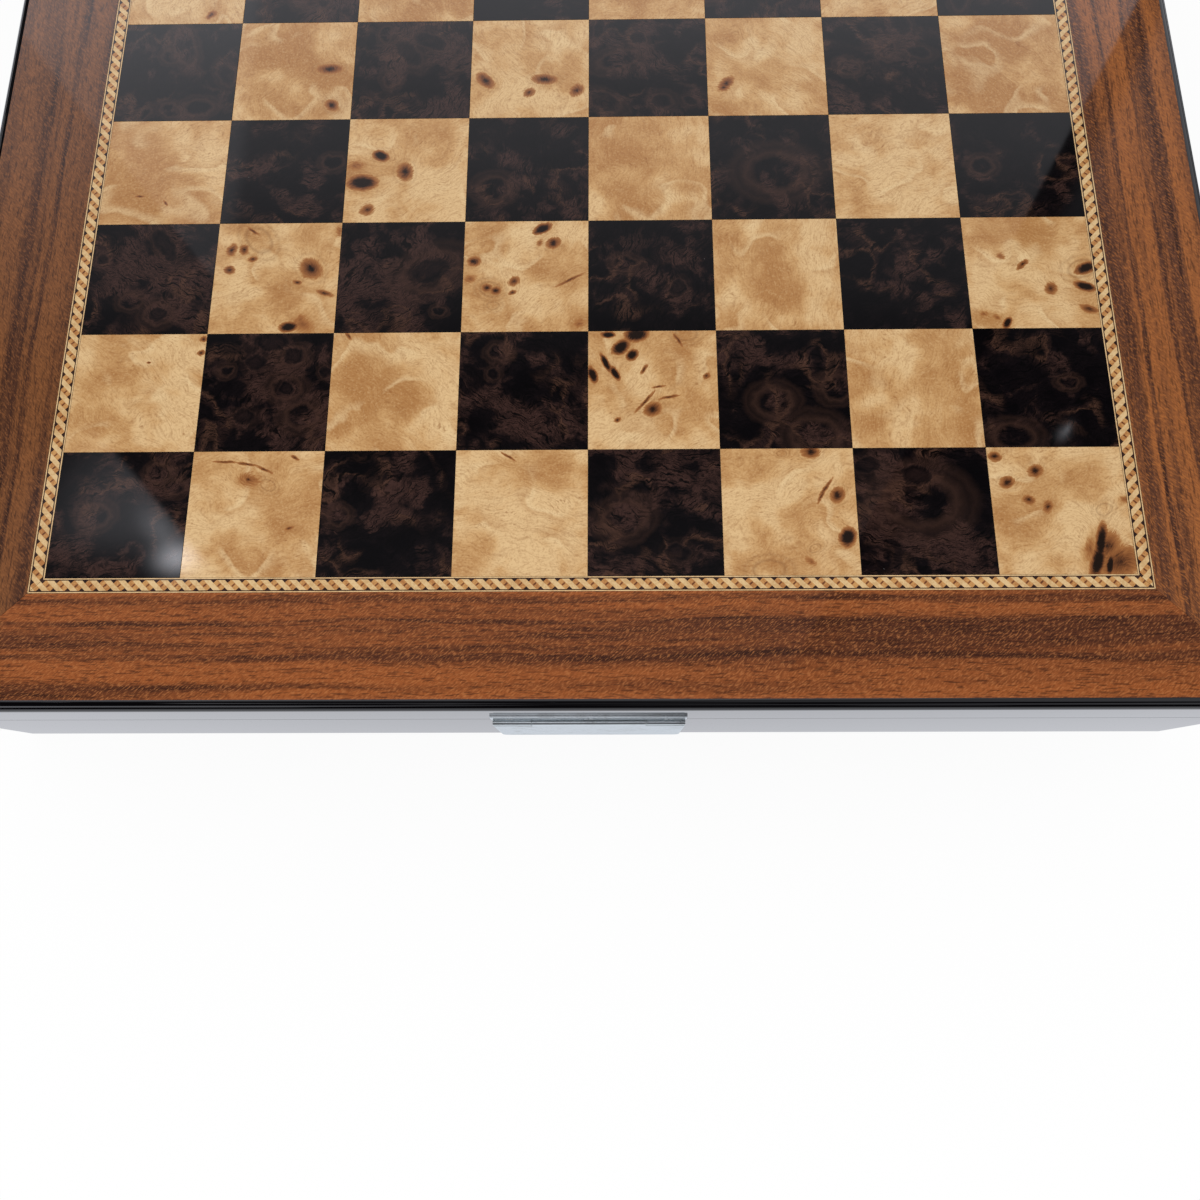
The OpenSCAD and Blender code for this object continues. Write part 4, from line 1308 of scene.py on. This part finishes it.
@dataclass
class ChessBoard:
    """The sixty-four veneered squares, light and dark burl in turn."""

    shop: Workshop
    ranks: int = 8
    square: float = 45.0
    joint: float = 0.1
    edge_round: float = 0.04
    seed: int = 45
    far_seed: float = 400.0
    marks: tuple[int, int] = (5, 10)
    margin: float = 2.0
    brownness: Span = (0.35, 0.6)
    patch_radius: Span = (3.0, 7.0)
    eye_radius: float = 1.2
    dark_eye_radius: float = 3.0
    light_eye_radius: float = 2.0
    stretch: Span = (1.1, 2.2)

    def build(self) -> None:
        """Models one square and lays a copy of it in each place."""
        low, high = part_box("dark_squares")
        start = low - Vector((self.joint, self.joint, 0.0)) * MM / 2
        side = (self.square - self.joint) * MM
        top = Vector((low.x + side, low.y + side, high.z))
        first = Bench.block("square_pattern", low, top)
        Bench.bevel_edges(first, lambda middle, _: middle.z > high.z - TOUCH, self.edge_round,
                          segments=2)
        Bench.smooth(first, 50.0)
        draw = random.Random(self.seed)
        for rank in range(self.ranks):
            for column in range(self.ranks):
                name = f"{'abcdefgh'[column]}{rank + 1}"
                dark = (rank + column) % 2 == 0
                move = Vector((column, rank, 0.0)) * self.square * MM
                tile = Bench.copy_of(first, f"square_{name}")
                tile.data.transform(Matrix.Translation(move))
                corner = tuple((start + move) * PER_METRE)
                finish = self._finish(name, dark, corner, draw)
                self.shop.deliver(tile, LID, "dark_burl" if dark else "light_burl", finish,
                                  ["dark_squares" if dark else "light_squares"])
        bpy.data.objects.remove(first)

    def _finish(self, name: str, dark: bool, corner: Point, draw: random.Random) -> Material:
        """Makes the material of one square.

        Args:
            name: The square's name, a1 to h8.
            dark: Whether it is a dark square.
            corner: Its near left corner, in millimetres.
            draw: The source of the marks that aren't listed in the figures.

        Returns:
            The material.
        """
        seed = draw.uniform(0.0, self.far_seed)
        spread = tuple(self._drawn_knot(draw, dark) for _ in range(draw.randint(*self.marks)))
        drawn = Figure(draw.uniform(*self.brownness), draw.uniform(0.0, 180.0), spread)
        shown = FIGURES.get(name, drawn)
        wood, label = (DARK_WOOD, "dark") if dark else (LIGHT_WOOD, "light")
        burl = Burl(wood, corner, seed, shown.knots, shown.brownness, shown.lie_deg)
        return burl.material(f"{label}_burl_{name}")

    def _drawn_knot(self, draw: random.Random, dark: bool) -> Knot:
        """Draws one mark at random."""
        kind = draw.choice((EYE, RING, BROWN, PALE) if dark else (EYE, SPOT, BROWN, PALE))
        largest = self.dark_eye_radius if dark else self.light_eye_radius
        radius = draw.uniform(*(self.patch_radius if kind in (BROWN, PALE) else (self.eye_radius, largest)))
        x, y = (draw.uniform(self.margin, self.square - self.margin) for _ in range(2))
        return Knot(x, y, radius, draw.uniform(*self.stretch), draw.uniform(0, 180), kind)


@dataclass
class InlayBand:
    """The patterned band round the squares: slanted pale bars with brown blocks between dark wedges."""

    shop: Workshop
    inner: float = 180.0
    outer: float = 185.1
    joint: float = 0.1
    fillet: float = 0.42
    dark_line: float = 0.36
    pitch: float = 4.74
    first_bar: float = -0.8
    slope: float = 1.1
    bar_half: float = 1.185
    block_reach: float = 2.75
    slot_half: float = 0.95
    slot_reach: float = 0.4
    sunk: float = 0.02
    bottom: float = field(init=False)
    top: float = field(init=False)

    def build(self) -> None:
        """Models the four sides."""
        cream, thread, tan, brown, dark = (
            InlayWood(f"inlay_{name}", tone(*light), tone(*shade)).material() for name, light, shade in (
                ("cream", (220, 188, 140), (200, 163, 114)), ("thread", (224, 190, 142), (200, 164, 118)),
                ("tan", (198, 148, 92), (168, 112, 66)), ("brown", (124, 76, 48), (98, 58, 38)),
                ("dark", (62, 42, 36), (40, 27, 25))))
        low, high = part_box("inlay_front")
        self.bottom, self.top = low.z / MM, high.z / MM
        for side in Side:
            node = f"inlay_{side.label}"
            mirrored = side is Side.LEFT
            parts = (
                (self._strip("ground", self.inner, self.outer, self.bottom, self.top - self.sunk), dark),
                (self._fillets(), thread),
                (self._row("bars", 0.0, self.bar_half, None, self.top), cream),
                (self._row("blocks", self.pitch / 2, self.bar_half, self.block_reach,
                           self.top - self.sunk / 4), tan),
                (self._row("slots", self.pitch / 2, self.slot_half, self.slot_reach, self.top), brown))
            for piece, finish in parts:
                piece.name = piece.data.name = f"{node}_{piece.name.split('.')[0]}"
                self._mitre(piece)
                Bench.turn(piece, side.turn, mirrored)
                Bench.smooth(piece, 30.0)
                self.shop.deliver(piece, LID, "inlay_band", finish, [node])

    def _strip(self, name: str, near: float, far: float, low: float, high: float) -> Object:
        """A straight strip along the front, long enough for its mitres, from near to far and low to high."""
        return Bench.block(name, (-far * MM, -far * MM, low * MM), (far * MM, -near * MM, high * MM))

    def _fillets(self) -> Object:
        """The two pale lines along the band's edges."""
        gap = self.joint / 2
        low = self.top - 2 * self.sunk
        pair = [self._strip("fillets", self.inner + gap, self.inner + self.fillet, low, self.top),
                self._strip("fillets", self.outer - self.fillet, self.outer - gap, low, self.top)]
        Bench.pick(pair[0])
        pair[1].select_set(True)
        bpy.ops.object.join()
        return bpy.context.object

    def _row(self, name: str, centre: float, half: float, reach: float | None,
             height: float) -> Object:
        """One block of the pattern, cut to its slanting outline and repeated all along the front.

        Args:
            name: The piece's name.
            centre: Where the first one's middle is, along X from the first bar.
            half: Half its length along X, between the cuts that lean with the bars.
            reach: Half its length along X, between the cuts that lean the other way, if it has them.
            height: The height of its top.

        Returns:
            The row of blocks.
        """
        middle = (self.inner + self.outer) / 2
        wide = (self.outer - self.inner) / 2 - self.fillet - self.dark_line
        count = int(2 * self.outer / self.pitch) + 3
        start = self.first_bar + centre - self.pitch * (count // 2)
        long = half + self.slope * wide
        piece = Bench.block(
            name, ((start - long) * MM, -(middle + wide) * MM, (self.top - 2 * self.sunk) * MM),
            ((start + long) * MM, -(middle - wide) * MM, height * MM))
        for end in (-1.0, 1.0):
            Bench.cut(piece, ((start + end * half) * MM, -middle * MM, 0.0), (end, end * self.slope, 0.0))
            if reach is not None:
                Bench.cut(piece, ((start + end * reach) * MM, -middle * MM, 0.0),
                          (end, -end * self.slope, 0.0))
        Bench.array(piece, count, self.pitch)
        return piece

    def _mitre(self, piece: Object) -> None:
        """Cuts both ends of a piece at 45 degrees, half a joint short of the corner."""
        gap = self.joint / 2 * math.sqrt(2) * MM
        for end in (-1.0, 1.0):
            Bench.cut(piece, (-end * gap, 0.0, 0.0), (end, 1.0, 0.0))


@dataclass
class WalnutBorder:
    """The four mitred lengths of walnut round the board."""

    shop: Workshop

    def build(self) -> None:
        """Dresses the four nodes, each with its grain along its side."""
        for side, cut in zip(Side, (FRONT_CUT, RIGHT_CUT, FRONT_CUT, SHADED_LEFT_CUT)):
            self.shop.dress(f"border_{side.label}", Walnut(side, cut).material())


@dataclass
class FeltLining:
    """Every sheet of felt: under the box, on its floor and walls, in the lid and over the divider."""

    shop: Workshop
    edge_round: float = 0.35
    fold_round: float = 0.9

    def build(self) -> None:
        """Models the sheets as they are cut and lays each in its place."""
        self._sheet("base_felt", BASE, "base_felt_sheet")
        for side in ("left", "right"):
            self._sheet(f"floor_lining_{side}", BASE, f"floor_felt_{side}")
        for side in Side:
            self._sheet(f"wall_lining_{side.label}", BASE, f"wall_felt_{side.label}")
        self._sheet("lid_lining", LID, "lid_felt")
        self._cover()

    def _sheet(self, node: str, body: str, name: str) -> None:
        """Models one flat sheet with soft cut edges.

        Args:
            node: The node that it replaces.
            body: The body that it is on.
            name: The sheet's name.
        """
        low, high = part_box(node)
        piece = Bench.block(name, low, high)
        Bench.bevel_corners(piece, self.edge_round)
        Bench.smooth(piece, 50.0)
        self.shop.deliver(piece, body, "green_felt", self.shop.finishes.felt, [node])

    def _cover(self) -> None:
        """Folds the divider's felt over its board: a block whose inside is cut away from below."""
        low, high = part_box("divider_cover")
        inner_low, inner_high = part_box("centre_divider")
        piece = Bench.block("divider_felt", low, high)
        Bench.bevel_edges(piece, lambda middle, way: middle.z > high.z - TOUCH and abs(way.y) > ALONG,
                          self.fold_round, segments=4)
        Bench.pick(piece)
        bpy.ops.object.mode_set(mode="EDIT")
        bpy.ops.mesh.select_mode(type="FACE")
        bpy.ops.mesh.select_all(action="DESELECT")
        mesh = bmesh.from_edit_mesh(piece.data)
        for face in mesh.faces:
            if face.normal.z < -ALONG or abs(face.normal.y) > ALONG:
                face.select_set(True)
        bmesh.update_edit_mesh(piece.data)
        bpy.ops.mesh.delete(type="FACE")
        bpy.ops.object.mode_set(mode="OBJECT")
        Bench.modify(piece, "SOLIDIFY", thickness=inner_low.x - low.x, offset=-1.0, use_even_offset=True)
        Bench.smooth(piece, 50.0)
        self.shop.deliver(piece, BASE, "green_felt", self.shop.finishes.felt, ["divider_cover"])


@dataclass
class Panels:
    """The plain boards inside: the floor panel, the lid's core and the divider."""

    shop: Workshop

    def build(self) -> None:
        """Dresses the three nodes."""
        for node in ("base_floor_panel", "lid_core_panel", "centre_divider"):
            self.shop.dress(node, self.shop.finishes.board)


@dataclass
class Hardware:
    """Hinges, clasp, keeper plate, pins and screws, all nickel-plated."""

    shop: Workshop
    plate_round: float = 0.15
    screw_round: float = 0.06

    def build(self) -> None:
        """Makes each piece from its node with its edges broken, as plated parts have them."""
        finishes = self.shop.finishes
        groups = (
            ("hinge_nickel", finishes.hinge_nickel, self.plate_round, (
                ("hinge_left_base_leaf", BASE), ("hinge_left_lid_leaf", LID), ("hinge_left_pin", BASE),
                ("hinge_right_base_leaf", BASE), ("hinge_right_lid_leaf", LID), ("hinge_right_pin", BASE))),
            ("clasp_nickel", finishes.clasp_nickel, self.plate_round, (
                ("clasp_leaf", LID), ("clasp_pin", LID), ("clasp_flap", FLAP), ("keeper_plate", BASE))),
            ("screw_nickel", finishes.screw_nickel, self.screw_round, (
                ("hinge_base_screws", BASE), ("keeper_screws", BASE),
                ("hinge_lid_screws", LID), ("clasp_screws", LID))))
        for slot, metal, rounding, pieces in groups:
            for node, body in pieces:
                piece = Bench.merged_copy(self.shop.node(node), f"{node}_plated")
                Bench.bevel_corners(piece, rounding, 50.0)
                Bench.smooth(piece, 35.0)
                self.shop.deliver(piece, body, slot, metal, [node])


# ---------------------------------------------------------------------------------------------
# Stage, light and camera
# ---------------------------------------------------------------------------------------------


@dataclass(frozen=True)
class Glint:
    """A bright patch of the room, named by the point of the board that mirrors it to the camera."""

    x: float
    y: float
    radius: float
    level: float
    stretch: float = 1.0
    turn_deg: float = 0.0


@dataclass(frozen=True)
class Verge:
    """A straight border in the room: a point of it, the direction that is past it, and half its blur."""

    point: Span
    normal: Span
    blur: float


@dataclass
class Studio:
    """A pale floor in a room that the lacquer mirrors: dark overhead, a white wall ahead, a pale gap behind.

    The room's patches are placed by the board's points that mirror them, in millimetres, as the
    camera at eye sees them. The steps are changes of brightness along Y.
    """

    floor_half: float = 3.0
    floor_drop: float = 0.0002
    shadow_reach: float = 0.5
    floor_share: float = 0.12
    floor_tone: tuple = tone(250, 250, 250)
    mirrored_floor: tuple = tone(246, 248, 255)
    mirrored_room: tuple = tone(246, 247, 255)
    eye: Point = (6.98, -260.06, 269.6)
    horizon: float = 0.02
    fill_level: float = 0.65
    dark_level: float = 0.03
    steps_ahead: tuple[Rise, ...] = ((-125, -175, 0.07), (-115, -50, 0.24), (-60, 0, 0.35), (0, 60, 0.4))
    steps_behind: tuple[Rise, ...] = ((-226.5, -229.5, 1.5), (-240, -320, -1.0), (-800, -1500, -0.5))
    gap_half: Span = (75, 45)
    overhead: Span = (-226, -196)
    curtain: Verge = Verge((158.9, -44.2), (0.872, -0.49), 0.6)
    curtain_level: float = 0.05
    curtain_end: Span = (8.0, 16.0)
    beyond_level: float = 0.35
    near_pane: Verge = Verge((-160.0, -137.5), (0.741, 0.67), 1.5)
    near_start: Span = (-181.0, -160.0)
    veil_middle: Span = (-152.0, -155.0)
    veil_reach: Span = (44.0, 6.0)
    veil_level: float = 0.75
    far_pane: Verge = Verge((-151.9, -46.1), (0.785, 0.62), 1.0)
    far_start: Span = (-70.0, -64.0)
    far_fade: Span = (-126.0, -134.0)
    far_level: float = 0.3
    pane_glints: tuple[Glint, ...] = (
        Glint(-136.4, -173.5, 4.9, 6.5, 1.35), Glint(-143, -164, 4.5, 1.5, 2.2, -48))
    glints: tuple[Glint, ...] = (
        Glint(161.8, -130.0, 1.8, 1.3, 1.6, 55), Glint(163.6, -128.2, 0.8, 1.8, 2.5, 60),
        Glint(20.0, -221.0, 0.5, 0.6, 260.0))
    lamp_place: Point = (-0.06, -0.45, 1.0)
    lamp_target: Point = (0.0, 0.0, 0.05)
    lamp_size: float = 0.22
    lamp_power: float = 4.1

    def build(self) -> None:
        """Makes the floor, the world and the lamp."""
        self._floor()
        self._world()
        self._lamp()

    def _floor(self) -> None:
        """A pale floor that keeps the box's shadow and looks white in the lacquer."""
        Bench.clear()
        bpy.ops.mesh.primitive_plane_add(size=2 * self.floor_half, location=(0.0, 0.0, -self.floor_drop))
        floor = bpy.context.object
        floor.name = "studio_floor"
        material = bpy.data.materials.new("studio_floor")
        material.use_nodes = True
        graph = Graph(material.node_tree)
        graph.tree.nodes.clear()
        spot = graph.add("ShaderNodeTexCoord", {}).outputs["Object"]
        away = graph.vector("LENGTH", spot)
        share = graph.step(away, self.shadow_reach * 0.4, self.shadow_reach, self.floor_share, 0.0)
        plain = graph.add("ShaderNodeBsdfDiffuse", {"Color": self.floor_tone}).outputs[0]
        glow = graph.add("ShaderNodeEmission", {"Color": tone(255, 255, 255)}).outputs[0]
        shine = graph.add("ShaderNodeEmission", {"Color": self.mirrored_floor, "Strength": 0.97}).outputs[0]
        path = graph.add("ShaderNodeLightPath", {}).outputs
        mirrored = graph.math("MAXIMUM", path["Is Glossy Ray"], path["Is Transmission Ray"])
        direct = self._either(graph, path["Is Camera Ray"], plain, self._either(graph, share, glow, plain))
        graph.add("ShaderNodeOutputMaterial", {"Surface": self._either(graph, mirrored, direct, shine)})
        floor.data.materials.append(material)

    @staticmethod
    def _either(graph: Graph, share: Input, first: Input, second: Input) -> NodeSocket:
        """Mixes two shaders, by the second one's share."""
        return graph.add("ShaderNodeMixShader", {0: share, 1: first, 2: second}).outputs[0]

    @staticmethod
    def _background(graph: Graph, level: Input, colour: tuple = (1.0, 1.0, 1.0, 1.0)) -> Input:
        """A background of one colour and brightness."""
        return graph.add("ShaderNodeBackground", {"Color": colour, "Strength": level}).outputs[0]

    def _world(self) -> None:
        """White to the eye, even to matt surfaces, and the room's own pattern to what mirrors it."""
        world = bpy.data.worlds.new("studio")
        bpy.context.scene.world = world
        world.use_nodes = True
        graph = Graph(world.node_tree)
        graph.tree.nodes.clear()
        way = graph.vector("NORMALIZE", graph.add("ShaderNodeTexCoord", {}).outputs["Generated"])
        rise = graph.math("MAXIMUM", graph.parts(way)[2], self.horizon)
        reached = graph.grown(way, graph.math("DIVIDE", self.eye[2], rise))
        spot = graph.vector("ADD", reached, (self.eye[0], self.eye[1], 0.0))
        room = graph.math("ADD", self._room(graph, spot), self._window(graph, spot))
        room = graph.math("ADD", room, self._glow(graph, spot, self.glints))
        path = graph.add("ShaderNodeLightPath", {}).outputs
        bounced = self._either(graph, path["Is Glossy Ray"], self._background(graph, self.fill_level),
                               self._background(graph, room, self.mirrored_room))
        surface = self._either(graph, path["Is Camera Ray"], bounced, self._background(graph, 1.0))
        graph.add("ShaderNodeOutputWorld", {"Surface": surface})

    def _room(self, graph: Graph, spot: Input) -> NodeSocket:
        """The walls: brighter step by step ahead, a dark curtain on the right, a pale gap behind the eye."""
        x, y, _ = graph.parts(spot)
        level: Input = self.dark_level
        for low, high, gain in self.steps_ahead:
            level = graph.math("ADD", level, graph.step(y, low, high, 0.0, gain))
        level = graph.math("MULTIPLY", level, graph.step(y, *self.overhead))
        beside = graph.step(graph.math("ABSOLUTE", x), *self.gap_half)
        for low, high, gain in self.steps_behind:
            level = graph.math("MULTIPLY_ADD", graph.step(y, low, high, 0.0, gain), beside, level)
        past = self._past(graph, x, y, self.curtain)
        open_share = graph.math(
            "ADD", graph.step(past, self.curtain.blur, -self.curtain.blur, self.curtain_level, 1.0),
            graph.step(past, *self.curtain_end, 0.0, self.beyond_level))
        return graph.math("MULTIPLY", level, open_share)

    def _window(self, graph: Graph, spot: Input) -> NodeSocket:
        """Two pale panes that show as veils over the squares at the left, each with one crisp edge."""
        x, y, _ = graph.parts(spot)
        near, far = self.near_pane, self.far_pane
        short = graph.step(self._past(graph, x, y, near), near.blur, -near.blur)
        veil = graph.step(graph.vector("DISTANCE", spot, (*self.veil_middle, self.eye[2])),
                          *self.veil_reach, 0.0, self.veil_level)
        pane = graph.math("ADD", graph.math("MULTIPLY", graph.step(y, *self.near_start), veil),
                          self._glow(graph, spot, self.pane_glints))
        strip = graph.math("MULTIPLY", graph.step(self._past(graph, x, y, far), -far.blur, far.blur),
                           graph.step(x, *self.far_fade, 0.0, self.far_level))
        return graph.math("MULTIPLY_ADD", short, pane,
                          graph.math("MULTIPLY", strip, graph.step(y, *self.far_start)))

    @staticmethod
    def _past(graph: Graph, x: Input, y: Input, verge: Verge) -> NodeSocket:
        """How far a place is past a border."""
        along = graph.math("MULTIPLY", graph.math("SUBTRACT", x, verge.point[0]), verge.normal[0])
        return graph.math("MULTIPLY_ADD", graph.math("SUBTRACT", y, verge.point[1]), verge.normal[1], along)

    @staticmethod
    def _glow(graph: Graph, spot: Input, glints: Iterable[Glint]) -> Input:
        """The brightness of some patches at a place."""
        total: Input = 0.0
        for glint in glints:
            away = graph.vector("SUBTRACT", spot, (glint.x, glint.y, 0.0))
            reach = graph.vector("LENGTH", graph.scaled(
                graph.turned(away, -math.radians(glint.turn_deg)),
                1 / (glint.radius * glint.stretch), 1 / glint.radius, 0.0))
            square = graph.math("MULTIPLY", reach, reach)
            fading = graph.math("EXPONENT", graph.math("MULTIPLY", square, -1.0))
            total = graph.math("MULTIPLY_ADD", fading, glint.level, total)
        return total

    def _lamp(self) -> None:
        """Adds a square lamp that points at the box and shows in no mirror."""
        lamp = bpy.data.lights.new("key_lamp", "AREA")
        lamp.size = self.lamp_size
        lamp.energy = self.lamp_power
        holder = bpy.data.objects.new("key_lamp", lamp)
        holder.visible_glossy = False
        holder.location = self.lamp_place
        aim = Vector(self.lamp_target) - Vector(self.lamp_place)
        holder.rotation_euler = aim.to_track_quat("-Z", "Y").to_euler()
        bpy.context.scene.collection.objects.link(holder)


@dataclass(frozen=True)
class Camera:
    """The view from above the clasp, fitted to the board's grid."""

    place: Point = (0.00698, -0.26006, 0.33759)
    pitch_deg: float = 77.056
    yaw_deg: float = 2.696
    roll_deg: float = -2.820
    focal_px: float = 852.76
    frame_px: float = 1200.0
    centre_row_px: float = 630.0
    sensor_mm: float = 36.0

    def build(self) -> None:
        """Adds the camera and makes it the scene's."""
        camera = bpy.data.cameras.new("view_camera")
        camera.sensor_width = self.sensor_mm
        camera.lens = self.focal_px / self.frame_px * self.sensor_mm
        camera.shift_y = (self.centre_row_px - self.frame_px / 2) / self.frame_px
        camera.clip_start = 0.01
        holder = bpy.data.objects.new("view_camera", camera)
        pitch, yaw, roll = (math.radians(angle) for angle in (self.pitch_deg, self.yaw_deg, self.roll_deg))
        across = Vector((math.cos(yaw), math.sin(yaw), 0.0))
        ahead = Vector((-math.sin(yaw), math.cos(yaw), 0.0))
        upright = Vector((0.0, 0.0, 1.0))
        forward = math.cos(pitch) * ahead - math.sin(pitch) * upright
        down = -(math.sin(pitch) * ahead + math.cos(pitch) * upright)
        right = math.cos(roll) * across - math.sin(roll) * down
        below = math.sin(roll) * across + math.cos(roll) * down
        axes = Matrix((right, -below, -forward)).transposed().to_4x4()
        holder.matrix_world = Matrix.Translation(self.place) @ axes
        bpy.context.scene.collection.objects.link(holder)
        bpy.context.scene.camera = holder


def main() -> None:
    """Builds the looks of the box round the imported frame."""
    logging.basicConfig(level=logging.INFO, format="%(name)s: %(message)s")
    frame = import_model()
    bpy.context.scene.view_settings.view_transform = "Standard"
    Camera().build()
    Studio().build()
    shop = Workshop(frame, Finishes())
    for group in (LacqueredFrame(shop), Panels(shop), ChessBoard(shop), InlayBand(shop),
                  WalnutBorder(shop), FeltLining(shop), Hardware(shop)):
        LOG.info("building %s", type(group).__name__)
        group.build()


if __name__ == "__main__":
    main()
